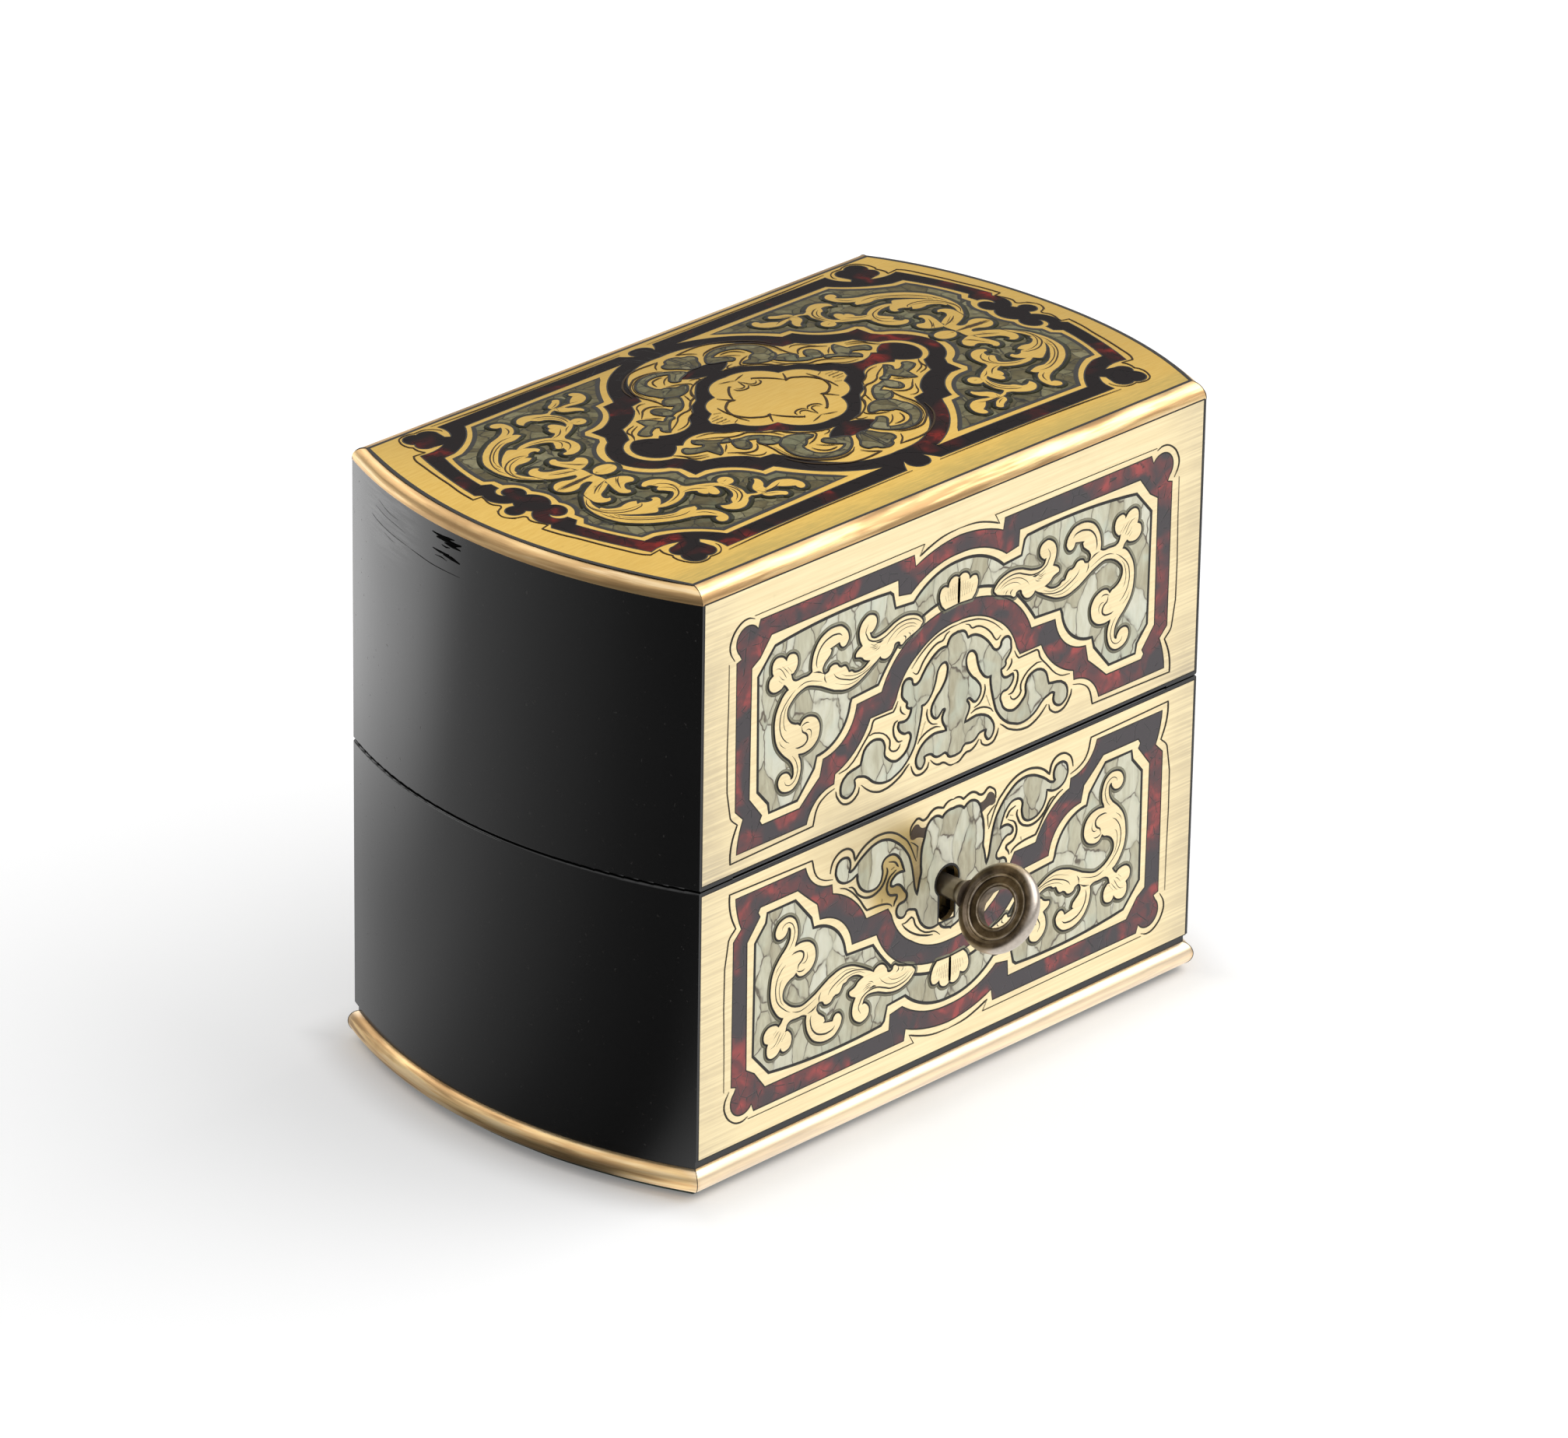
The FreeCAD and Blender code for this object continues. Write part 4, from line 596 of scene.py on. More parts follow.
lidLines = [
    (0.2, [(-11.4, 24.2), (-8.9, 26.4), (-5.4, 28.2), (-3.5, 28.6), (-1.5, 28.9), (0, 28.9)]),
    (0.25, [(-11, 23.4), (-10, 22.8), (-9.4, 23.3), (-8.5, 24.6), (-6.2, 26.5), (-4.9, 27),
         (-3.6, 27.1), (-2.9, 27.9), (-2, 28.3)]),
    (0.25, [(-29, 10.2), (-26.5, 10.7), (-22.7, 14.2), (-21.2, 15.9), (-20.6, 17.4),
         (-20.2, 17.6, 1), (-15.7, 17.5, 1), (-15.2, 18.1), (-14.6, 19.2)]),
    (0.25, [(-21.6, 14.9), (-20.2, 15), (-16.6, 12.7), (-16.4, 11.4), (-16.5, 10.9), (-15, 9.9),
         (-14.1, 10.3), (-13.8, 10.9)]),
    (0.3, [(-14.5, 15.5), (-15.3, 15.2), (-15.5, 13.2), (-15, 12.2), (-14.3, 11.4), (-13.3, 11.3)]),
    (0.25, [(-13.9, 18), (-13.9, 17.2), (-13.4, 16.5), (-12.7, 16)]),
    (0.3, [(-29.6, 7.1), (-29.3, 5.9), (-26.9, 3.8), (-24.2, 4.8), (-23.8, 6)]),
    (0.3, [(-23.3, 6.2), (-22, 5), (-20.2, 3.9), (-18, 3.4), (-13.7, 4.6), (-12.1, 5.8),
         (-11.4, 6.3)]),
    (0.3, [(-11, 5.7), (-10.5, 4.4), (-9.4, 3.4), (-7, 3.9), (-6.5, 5)]),
    (0.3, [(-6.1, 5.2), (-5.1, 4.2), (-4, 3.7), (-2.9, 3.7), (-1.1, 2.6), (0, 2.5)]),
    (0.25, [(-7.2, 15.3), (-7.3, 14.2), (-6.2, 12.2), (-4.6, 11.6)]),
    (0.15, [(-8.7, 10.6), (-7.6, 13.1)]),
    (0.25, [(-9.5, 9.3), (-8.7, 10.2), (-5.3, 11.2), (-3.8, 10.8)]),
]

baseLines = [
    (0.35, [(-30.6, 6.5), (-30.3, 5.1), (-29.6, 4), (-27.5, 3), (-25.3, 3.8), (-24.5, 6, 1),
         (-23, 4.6), (-20.7, 3.5), (-17.9, 3.2), (-15.1, 3.9), (-12.4, 5.8), (-11.4, 6.8),
         (-9.1, 11.4)]),
    (0.2, [(-10.7, 7.2), (-9.8, 7.8), (-8.8, 8.7, 1), (-9, 10.9)]),
    (0.3, [(-28.1, 10.1), (-26.6, 10.7), (-23.4, 13.7), (-21.8, 16), (-21.3, 16.6, 1),
         (-17.2, 16.9), (-15.4, 17.6), (-15, 18.1)]),
    (0.35, [(-25.9, 10.7), (-25, 11), (-23.4, 13), (-20.7, 14.3), (-18.3, 13.8), (-17.2, 12.9),
         (-16.6, 11.8), (-16.3, 10.9), (-16.5, 10.1)]),
    (0.3, [(-16, 9.2), (-14.4, 9.8), (-13.8, 10.6), (-13.6, 10.9)]),
    (0.35, [(-14.1, 11.3), (-16, 12.6), (-16, 15.3), (-13.9, 16.2, 1), (-13.8, 16.7), (-14.3, 17.4),
         (-14.6, 18.2)]),
    (0.2, [(-14.6, 10.6), (-15.4, 10.9)]),
    (0.2, [(-17.5, 15.7), (-17.6, 16.4)]),
    (0.25, [(-12.4, 22.4), (-11.4, 22.4), (-10.4, 22), (-9.9, 21.9), (-8.9, 23.8), (-6.8, 25.8),
         (-5.5, 26.3), (-4.1, 26.6), (-2.7, 27.7)]),
    (0.3, [(-12.3, 22.5), (-11.4, 23.6), (-9.1, 25.4), (-6.2, 26.7), (-4.5, 27.1)]),
    (0.35, [(-10.8, 6), (-10.6, 4.5), (-9.8, 3.7), (-8.9, 3.3), (-7.5, 4.1), (-6.6, 3.9),
         (-5.7, 3.2), (-4.5, 2.8), (-2.5, 3.4, 1), (-1.8, 2.8), (-0.8, 2.5), (0, 2.6)]),
]

contour = [
    (0.25, [(0, 47), (-4.1, 46.7), (-7.4, 45.8), (-9.9, 44.8, 1), (-8.8, 46.7, 1), (-50, 46.5, 1)]),
    (0.25, [(-50, 46), (-51.6, 46.5), (-53.8, 45.8), (-55.6, 43.5), (-55.8, 41.7), (-54.7, 39.6, 1)]),
    (0.25, [(-56, 39.4, 1), (-55.3, 10.7), (-53.6, 8.9, 1), (-54.7, 6.4), (-55.2, 3.9),
         (-55.2, 2, 1), (-35.1, 2.4, 1), (-34, 5.7), (-32.2, 7.1), (-29.9, 7.8)]),
]

topLines = [
    (0.4, [(52.9, 0), (51, -0.2), (48.1, -0.2), (45, -0.1)]),
    (0.2, [(51.2, 3.9), (51.9, 4.9), (52.2, 6.1), (52.3, 7.2)]),
    (0.3, [(50.2, 5.5), (48.8, 4.5), (47.1, 3.7), (45.3, 3.1)]),
    (0.15, [(49.5, 5.6), (47.8, 4.5), (45.9, 3.4)]),
    (0.25, [(45.6, 7.3), (44.9, 6.1), (43.7, 4.6), (42.7, 3.8)]),
    (0.2, [(45, 5.6), (43.9, 4.4), (43.1, 3.5)]),
    (0.3, [(52.7, 6.1), (53.9, 7.5), (54.4, 10.4), (52.7, 13.4), (48.1, 14.6), (47.1, 13.8)]),
    (0.2, [(54, 8.3), (54.1, 10), (52.2, 12.8), (50.5, 13.7), (47.6, 14.2)]),
    (0.25, [(54.6, 11.2), (54.6, 13.1), (53.1, 16.5), (50.2, 19.4), (46.4, 21.5), (44.7, 21.8),
         (43.4, 21.6)]),
    (0.2, [(53.4, 14.6), (52.2, 16.8), (47.1, 20.5), (45.6, 20.8)]),
    (0.3, [(54.1, 13.1), (54.1, 14.3)]),
    (0.3, [(53.5, 13.6), (53.4, 14.6)]),
    (0.15, [(53, 14.1), (53.6, 15.1)]),
    (0.25, [(40.8, 10.2), (39.6, 10.9), (38.8, 12.1), (39.6, 15.1), (42.2, 16.6), (43.9, 16.9)]),
    (0.15, [(40.1, 10.4), (39.1, 11.4), (38.5, 12.6), (38.6, 14.1)]),
    (0.2, [(41, 11.7), (39.9, 12.6), (39.4, 13.6), (39.8, 14.6)]),
    (0.25, [(43.2, 22.8), (42, 23.5), (41.3, 24.5), (41, 25.5)]),
    (0.25, [(39.1, 15.7), (37.4, 16), (36.2, 16.8), (35.3, 17.7)]),
    (0.2, [(35.7, 16), (34.5, 17), (33.4, 17.5)]),
    (0.3, [(32.4, 18.7), (32, 19.9), (32.2, 22.6), (34.3, 24.5), (35.3, 24.8)]),
    (0.2, [(32.7, 19.4), (32.5, 20.9), (32.8, 22.1), (33.8, 23.3), (34.8, 24)]),
    (0.2, [(31.6, 19.5), (31.5, 20.9), (31.6, 22.1)]),
    (0.3, [(31.4, 17.7), (30.7, 17.6)]),
    (0.25, [(29.7, 24.9), (28.2, 25), (26.3, 24.9), (24.6, 24.3)]),
    (0.2, [(29.7, 23.8), (29.2, 24.8)]),
    (0.2, [(29.6, 25.7), (28.2, 26.2), (27.3, 26.8)]),
    (0.25, [(30.4, 4.6), (29.7, 5.5), (29.2, 6.6), (29.1, 7.5), (28.5, 8.3), (26.1, 9.1)]),
    (0.2, [(29.6, 5.4), (28.5, 7.2), (27.5, 7.8), (25.8, 8.5)]),
    (0.3, [(23, 10.3), (21.4, 11.7), (20.5, 12.5), (18.8, 12.9), (17.6, 12.3), (16.7, 11.2)]),
    (0.2, [(21.9, 11.9), (21, 13.1), (20.2, 14.3), (18.8, 14.9), (17.8, 14.6)]),
    (0.25, [(22.9, 9.7), (21.4, 8.5), (20.7, 7.8)]),
    (0.2, [(22.4, 2.2), (20.5, 2.4), (18.8, 3.2), (17.8, 4.1), (16.6, 4.9), (15.6, 5.4), (14.7, 6.6)]),
    (0.3, [(23.4, 2.8), (19.7, 4.9), (18.3, 6.1), (16.6, 6.7), (14.7, 6.9), (13.2, 8.3),
         (11.7, 9.5), (10.3, 10.2), (9.3, 11.7), (8.1, 13.1), (4.2, 15.1), (2.3, 15.3)]),
    (0.2, [(12, 9.2), (11.3, 10.7), (10.8, 12.1)]),
    (0.2, [(10.3, 10), (9.8, 11.4), (8.4, 13.1)]),
    (0.3, [(16.5, 11.2), (16.1, 12.6), (16.1, 14.6), (16.4, 17), (15.3, 20.6), (12.2, 23.5),
         (10.3, 24.4), (6.4, 24), (5, 23.1)]),
    (0.15, [(15.5, 14.1), (15.6, 18.2), (13.9, 21.6), (12.2, 22.9), (10.3, 23.8), (8.4, 24),
         (6.4, 23.7)]),
    (0.3, [(17.3, 18.4), (16.4, 20.9), (14.9, 23.1), (10.8, 26.2), (8.4, 27.1), (2.3, 27.1, 1),
         (4.2, 25.7), (5, 24.5)]),
    (0.25, [(6.4, 14.3), (6.2, 15.1), (7.1, 16), (8.6, 16.8), (10.1, 17.2)]),
    (0.25, [(10.9, 18.6), (10.5, 19.9), (9.6, 20.9), (8.1, 21.2), (7.1, 21.1)]),
    (0.2, [(9.4, 18.2), (8.6, 19.2), (7.4, 20.1), (6.2, 20.6)]),
    (0.2, [(5, 15.1), (3.5, 15.5), (4, 16.1), (5.4, 16.3)]),
]

plaqueLines = [
    (0.35, [(11, -3.9), (11.3, -0.9), (10.3, 2.4), (8.8, 3.8), (7.4, 4.5), (6.3, 4.2, 1), (7.1, 5.1),
         (8.2, 6.8)]),
    (0.2, [(15, -1.3), (13.2, -1.4)]),
    (0.3, [(15.7, -0.5), (13.1, -0.5)]),
    (0.2, [(14.5, 0.6), (13.2, 0.4)]),
    (0.25, [(13.3, 2.6), (12, 2)]),
    (0.35, [(6.4, 4.5), (5.4, 6.3), (4, 8), (2.8, 9.1, 1), (2.5, 8.8)]),
    (0.25, [(3.1, 7.7), (2.8, 6.8), (0.8, 6.4), (0, 7.2)]),
    (0.2, [(2.5, 7.8), (1.8, 7.1), (0.8, 7.3), (0.4, 8.3), (0, 9.7)]),
    (0.2, [(3, 11.4), (1.6, 11), (0, 10.4)]),
]

borderLines = [
    (0.25, [(65.5, -2.3), (66.1, -1.4), (66.5, 0), (66.2, 1.1), (65.3, 2.1), (63.9, 3), (64.4, 4.4),
         (64.3, 5.8), (63.7, 7.3), (63.6, 8, 1), (65.3, 8.3, 1), (64.7, 12.1), (63.8, 15.5),
         (62.8, 19.9), (61.6, 24.3), (60.7, 27.2), (59.8, 28.5, 1), (57.3, 28.2, 1), (57.6, 29.1),
         (57.6, 30.1), (57.3, 31.2, 1), (57.7, 32), (57, 34.9), (55.8, 36), (53.6, 36.1),
         (52.8, 35.7, 1), (51.4, 35.8), (50.2, 35.5), (48.8, 33.7), (48.8, 32.8)]),
    (0.25, [(48.7, 35.9), (36.9, 35.4), (3.4, 35.3)]),
]


# Inlay work on the plates

# Heights of the flat parts' middles over their plate
level = {"grime": 0.005, "border": 0.02, "mark": 0.02, "fill": 0.06, "pearl": 0.045, "stroke": 0.07}
sheetThick = 0.03
lineThick = 0.05
pocketBorder = 0.5
cutStep = 4
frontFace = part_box("lid_front_brass")[0][1] / mm
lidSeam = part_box("lid_front_brass")[0][2] / mm
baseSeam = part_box("base_front_brass")[1][2] / mm
topCentre = Vector((0.9, 2.2))
topEdge = 114.2
topRise = 2.3
topHalf = Vector((69.9, 39.05))
bowRadius = 99.2
bowCentre = 27.3


def domeHeight(x, y):
    return topEdge + topRise * (1 - (x / topHalf.x) ** 2) * (1 - (y / topHalf.y) ** 2)


def lidPlace(side, flip):
    return lambda a, b, t: (side * a, frontFace - t, lidSeam + b)


def basePlace(side, flip):
    return lambda a, b, t: (side * a, frontFace - t, baseSeam - b)


def topPlace(side, flip):
    def put(a, b, t):
        x = topCentre.x - side * a
        y = topCentre.y - flip * b
        return (x, y, domeHeight(x, y) + t)
    return put


def endPlace(a, b, t):
    # on the left end: a is y and b is z
    return (bowCentre - math.sqrt(bowRadius ** 2 - a ** 2) - t, a, b)


def curveOf(outlines, closed, width=None):
    # a filled flat shape where width is None, else a round line tapered at free ends
    data = bpy.data.curves.new("line", "CURVE")
    data.dimensions = "2D" if width is None else "3D"
    data.resolution_u = 4
    if width is None:
        data.fill_mode = "BOTH"
        data.extrude = 0.02
    else:
        data.bevel_depth = 1.0
        data.bevel_resolution = 0
        data.use_fill_caps = True
    for outline in outlines:
        spline = data.splines.new("BEZIER")
        spline.bezier_points.add(len(outline) - 1)
        spline.use_cyclic_u = closed
        last = len(outline) - 1
        for i, (point, spot) in enumerate(zip(spline.bezier_points, outline)):
            point.co = (spot[0], spot[1], 0.0)
            kind = "VECTOR" if len(spot) > 2 else "AUTO"
            point.handle_left_type = kind
            point.handle_right_type = kind
            taper = 1.0 if closed else 0.35 + 0.65 * abs(math.sin(math.pi * i / last)) ** 0.5
            point.radius = 1.0 if width is None else width / 2 * taper
    return data


def meshOf(data):
    holder = bpy.data.objects.new("holder", data)
    scene.collection.objects.link(holder)
    mesh = bpy.data.meshes.new_from_object(
        holder.evaluated_get(bpy.context.evaluated_depsgraph_get()))
    bpy.data.objects.remove(holder)
    return mesh


def place(name, data, finish, slot, body):
    piece = bpy.data.objects.new(name, data)
    scene.collection.objects.link(piece)
    data.materials.clear()
    data.materials.append(finishes[finish])
    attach(piece, body)
    return piece


class Inlay:
    # one finished piece, gathered from flat parts and laid on its plate
    def __init__(self, name, body, finish, slot, places, curved):
        self.name = name
        self.body = body
        self.finish = finish
        self.slot = slot
        self.places = places
        self.curved = curved
        self.mesh = bmesh.new()

    def addFlat(self, data, height, thickness):
        flat = bmesh.new()
        flat.from_mesh(meshOf(data))
        if self.curved:
            cutAcross(flat)
        low = min(vertex.co.z for vertex in flat.verts)
        high = max(vertex.co.z for vertex in flat.verts)
        for vertex in flat.verts:
            share = (vertex.co.z - low) / (high - low) - 0.5
            vertex.co.z = height + share * thickness
        for put in self.places:
            copy = flat.copy()
            for vertex in copy.verts:
                vertex.co = Vector(put(*vertex.co)) * mm
            bmesh.ops.recalc_face_normals(copy, faces=copy.faces)
            piece = bpy.data.meshes.new("part")
            copy.to_mesh(piece)
            copy.free()
            self.mesh.from_mesh(piece)
        flat.free()

    def fill(self, outlines, height):
        self.addFlat(curveOf(outlines, True), height, sheetThick)
        return self

    def stroke(self, width, outline, height, closed=False):
        self.addFlat(curveOf([outline], closed, width), height, lineThick)
        return self

    def done(self):
        data = bpy.data.meshes.new(self.name)
        self.mesh.to_mesh(data)
        self.mesh.free()
        return place(self.name, data, self.finish, self.slot, self.body)


def cutAcross(flat):
    # extra cuts, so that the piece can follow the dome or the bowed end
    for axis in (0, 1):
        spots = [vertex.co[axis] for vertex in flat.verts]
        cutPlanes(flat, axis, min(spots), max(spots), cutStep, 1e-4)


def cutPlanes(mesh, axis, low, high, step, near):
    # cuts square to an axis at every whole number of steps
    normal = [float(axis == k) for k in range(3)]
    for k in range(math.ceil(low / step), math.floor(high / step) + 1):
        geometry = mesh.verts[:] + mesh.edges[:] + mesh.faces[:]
        bmesh.ops.bisect_plane(mesh, geom=geometry, dist=near, plane_no=normal,
                               plane_co=[step * k * n for n in normal])


def copies(place, sides, flips):
    return [place(side, flip) for side in sides for flip in flips]


def mirrored(half):
    # an open half outline from x = 0 to x = 0, with its other half
    return half + [(-x, *rest) for x, *rest in reversed(half)]


def oval(u, v, wide, high, start=0.0, end=2 * math.pi, count=12):
    turns = [start + (end - start) * k / count for k in range(count)]
    return [(u + wide * math.cos(t), v + high * math.sin(t)) for t in turns]


def keyholeOutline(hole):
    # the round, and the slot below it for the key's bit
    reach = math.asin(hole["half"] / hole["radius"])
    drop = hole["high"] + hole["radius"] * math.cos(reach)
    left, right = hole["x"] - hole["half"], hole["x"] + hole["half"]
    turns = [math.pi / 2 + reach + (2 * math.pi - 2 * reach) * k / 10 for k in range(1, 10)]
    rounded = [(hole["x"] + hole["radius"] * math.cos(t), hole["high"] + hole["radius"] * math.sin(t))
               for t in turns]
    return [(left, hole["low"], 1), (left, drop, 1), *rounded, (right, drop, 1),
            (right, hole["low"], 1)]


keyhole = {"x": -1.2, "high": 17.8, "radius": 3.0, "half": 2.1, "low": 25.5}


topEyes = [oval(31.0, 17.7, 1.4, 1.4), oval(42.2, 0.0, 2.3, 1.7, 0.0, math.pi, 6) + [(39.9, 0.0, 1)]]
frontLook = {"scrolls": [frontScroll, palmette], "grime": 1.7, "border": 0.8, "engraved": 1.3,
             "finishes": ("frontBrass", "frontPearl", "engraving", "frontGrime"), "curved": False}

# Pockets come in groups of outlines that are filled together, so that one can pierce another
plates = {
    "base": {"body": "base", "places": copies(basePlace, (-1, 1), (1,)),
             "pocketPlaces": copies(basePlace, (1,), (1,)),
             "lines": scrollLines + baseLines + contour,
             "pockets": [[mirrored(basePearl), keyholeOutline(keyhole)]], "dark": basePocket,
             **frontLook},
    "lid": {"body": "lid", "places": copies(lidPlace, (-1, 1), (1,)),
            "pocketPlaces": copies(lidPlace, (1,), (1,)),
            "lines": scrollLines + lidLines + contour, "pockets": [[mirrored(lidPearl)]],
            **frontLook},
    "top": {"body": "lid", "places": copies(topPlace, (-1, 1), (-1, 1)),
            "pocketPlaces": copies(topPlace, (-1, 1), (-1, 1)),
            "lines": topLines + plaqueLines + borderLines,
            "pockets": [[outline] for outline in topPockets.values()],
            "scrolls": [*topScrolls.values(), *topEyes],
            "grime": 2.1, "border": 0.95, "engraved": 1.45,
            "finishes": ("topBrass", "topPearl", "topEngraving", "topGrime"), "curved": True},
}


def dress(title, look):
    metal, pearly, engraved, bandFinish = look["finishes"]

    def piece(name, finish, slot, places="places"):
        return Inlay(title + name, look["body"], finish, slot, look[places], look["curved"])

    # a darker band round each scroll
    grime = piece("ScrollGrime", bandFinish, "pearl")
    borders = piece("ScrollBorders", "mastic", "plate_brass")
    scrolls = piece("Scrolls", metal, "plate_brass")
    pockets = piece("PearlPockets", pearly, "pearl", "pocketPlaces")
    edges = piece("PocketBorders", "mastic", "plate_brass", "pocketPlaces")
    engraving = piece("Engraving", engraved, "plate_brass")
    pieces = [grime, borders, scrolls, pockets, edges, engraving]
    for outline in look["scrolls"]:
        grime.stroke(look["grime"], outline, level["grime"], True)
        borders.stroke(look["border"], outline, level["border"], True)
        scrolls.fill([outline], level["fill"])
    for group in look["pockets"]:
        pockets.fill(group, level["pearl"])
        for outline in group:
            edges.stroke(pocketBorder, outline, level["fill"], True)
    for width, outline in look["lines"]:
        engraving.stroke(width * look["engraved"], outline, level["stroke"])
    if "dark" in look:
        pieces.append(piece("DarkPockets", "darkPocket", "plate_brass")
                      .fill([look["dark"]], level["pearl"]))
    for part in pieces:
        part.done()


for title, look in plates.items():
    dress(title, look)
print("front plates and top dressed")


# Knocks on the left end: black scuffs under the crown, and light scratches; and a painted highlight
# along the base's top rim

endMarks = {
    "endScuffs": ("lid", "scuff", [
        (0.5, [(13.6, 109.9), (11.6, 109.8), (9.2, 110.0), (7.6, 110.2)]),
        (0.8, [(12.4, 109.3), (10.4, 109.5), (7.6, 109.4), (5.8, 109.7)]),
        (0.6, [(10.2, 108.9), (8.2, 108.9), (6.0, 108.8)]),
        (0.3, [(11.0, 108.3), (9.8, 108.2), (8.8, 108.4)]),
        (0.45, [(13.5, 106.9), (11.4, 106.8), (9.0, 107.0)]),
        (0.7, [(10.6, 106.6), (8.4, 106.6), (6.2, 106.3)]),
        (0.2, [(12.8, 105.8), (11.0, 105.9), (9.6, 105.7)])]),
    "endScratches": ("lid", "scratch", [
        (0.16, [(33.5, 105.3), (31.4, 104.8), (27.6, 104.4), (23.2, 104.2), (20.3, 104.1)]),
        (0.10, [(32.0, 107.4), (28.6, 106.8), (24.9, 106.6), (21.8, 106.3)]),
        (0.09, [(31.0, 108.9), (27.5, 108.0), (24.0, 107.8)]),
        (0.08, [(29.0, 103.6), (26.8, 103.2), (25.1, 103.1)])]),
    "endCrack": ("lid", "scuff", [
        (0.12, [(20.2, 104.1), (17.1, 103.9), (14.1, 103.7), (10.8, 103.7), (6.2, 103.8)])]),
    # painted highlight: a light line along the rounded top rim of the base's left end
    "rimWear": ("base", "scratch", [
        (0.22, [(41.6, 58.0), (34.0, 58.05), (22.0, 58.0), (10.0, 58.05), (-4.0, 58.0)])]),
}
for title, (body, finish, strokes) in endMarks.items():
    marks = Inlay(title, body, finish, "ebonised_wood", [endPlace], True)
    for width, outline in strokes:
        marks.stroke(width, outline, level["mark"])
    marks.done()
print("left end marked")


# Mastic lines round the let-in pieces of the plates, and dark lines round the plates' outer rims,
# partly a joint and partly painted shade along the mouldings

weldDistance = 2e-6
masticFlat = 0.12
mitreRadius = 0.07


def rimOf(nodeName, outward):
    # the outer rim and holes of a node's show face, as edges only
    mesh = bmesh.new()
    mesh.from_mesh(nodes[nodeName].data)
    bmesh.ops.remove_doubles(mesh, verts=mesh.verts, dist=weldDistance)
    hidden = [face for face in mesh.faces if face.normal.dot(outward) < 0.7]
    bmesh.ops.delete(mesh, geom=hidden, context="FACES")
    return rimsLeft(mesh)


def rimsLeft(mesh):
    inner = [edge for edge in mesh.edges if not edge.is_boundary]
    bmesh.ops.delete(mesh, geom=mesh.faces[:], context="FACES_ONLY")
    bmesh.ops.delete(mesh, geom=inner, context="EDGES")
    data = bpy.data.meshes.new("rim")
    mesh.to_mesh(data)
    mesh.free()
    return data


def keepLongest(splines):
    def reach(spline):
        spots = [point.co.x for point in spline.points]
        return max(spots) - min(spots)

    longest = max(reach(spline) for spline in splines)
    for spline in [spline for spline in splines if reach(spline) < longest]:
        splines.remove(spline)


def tubeAlong(edges, radius, sides, outer=False):
    # round tubes of a radius in millimetres along the edges of a mesh
    holder = bpy.data.objects.new("rim", edges)
    scene.collection.objects.link(holder)
    bpy.ops.object.select_all(action="DESELECT")
    bpy.context.view_layer.objects.active = holder
    holder.select_set(True)
    bpy.ops.object.convert(target="CURVE")
    if outer:
        keepLongest(holder.data.splines)
    holder.data.bevel_depth = radius * mm
    holder.data.bevel_resolution = sides
    data = meshOf(holder.data)
    bpy.data.objects.remove(holder)
    return data


def masticAndShadeLine(name, nodeName, body, outward, width, lift, outer=False):
    # a tube round the rim, pressed nearly flat on its plate
    data = tubeAlong(rimOf(nodeName, outward), width / 2, 0, outer)
    for vertex in data.vertices:
        spot = vertex.co / mm
        if outward.z > 0.5:
            rest = domeHeight(spot.x, spot.y) + lift
            spot.z = rest + (spot.z - rest) * masticFlat
        else:
            rest = frontFace - lift
            spot.y = rest + (spot.y - rest) * masticFlat
        vertex.co = spot * mm
    place(name, data, "mastic", "plate_brass", body)


forward = Vector((0, -1, 0))
upward = Vector((0, 0, 1))
for body in ("base", "lid"):
    masticAndShadeLine(body + "ShellLine", body + "_front_tortoiseshell", body, forward, 0.28, 0.01)
    masticAndShadeLine(body + "PearlLine", body + "_front_pearl", body, forward, 0.6, 0.012)
masticAndShadeLine("topShellLine", "lid_top_tortoiseshell", "lid", upward, 0.25, 0.02)
masticAndShadeLine("topPearlLine", "lid_top_pearl", "lid", upward, 0.85, 0.022)
# the plates' outer rims: a dark line, partly a joint and partly painted shade in the groove along the
# mouldings
masticAndShadeLine("topPlateLine", "lid_top_brass", "lid", upward, 0.8, 0.02, True)
masticAndShadeLine("lidPlateLine", "lid_front_brass", "lid", forward, 0.4, 0.01, True)
masticAndShadeLine("basePlateLine", "base_front_brass", "base", forward, 0.3, 0.01, True)
print("mastic lines laid")


# Mitre joints of the mouldings, and worn beads on the key's bow

def mitreLines(name, nodeNames, body):
    # a dark hairline where the front or back length meets an end length
    joint = bmesh.new()
    for nodeName in nodeNames:
        mesh = bmesh.new()
        mesh.from_mesh(nodes[nodeName].data)
        bmesh.ops.remove_doubles(mesh, verts=mesh.verts, dist=weldDistance)
        others = [face for face in mesh.faces if abs(face.normal.x) < 0.3 or abs(face.normal.z) > 0.1]
        bmesh.ops.delete(mesh, geom=others, context="FACES")
        joint.from_mesh(rimsLeft(mesh))
    data = bpy.data.meshes.new("joint")
    joint.to_mesh(data)
    joint.free()
    place(name, tubeAlong(data, mitreRadius, 1), "mastic", "moulding_brass", body)


for body in ("base", "lid"):
    mitreLines(body + "MitreLines", [body + "_moulding_front", body + "_moulding_back"], body)


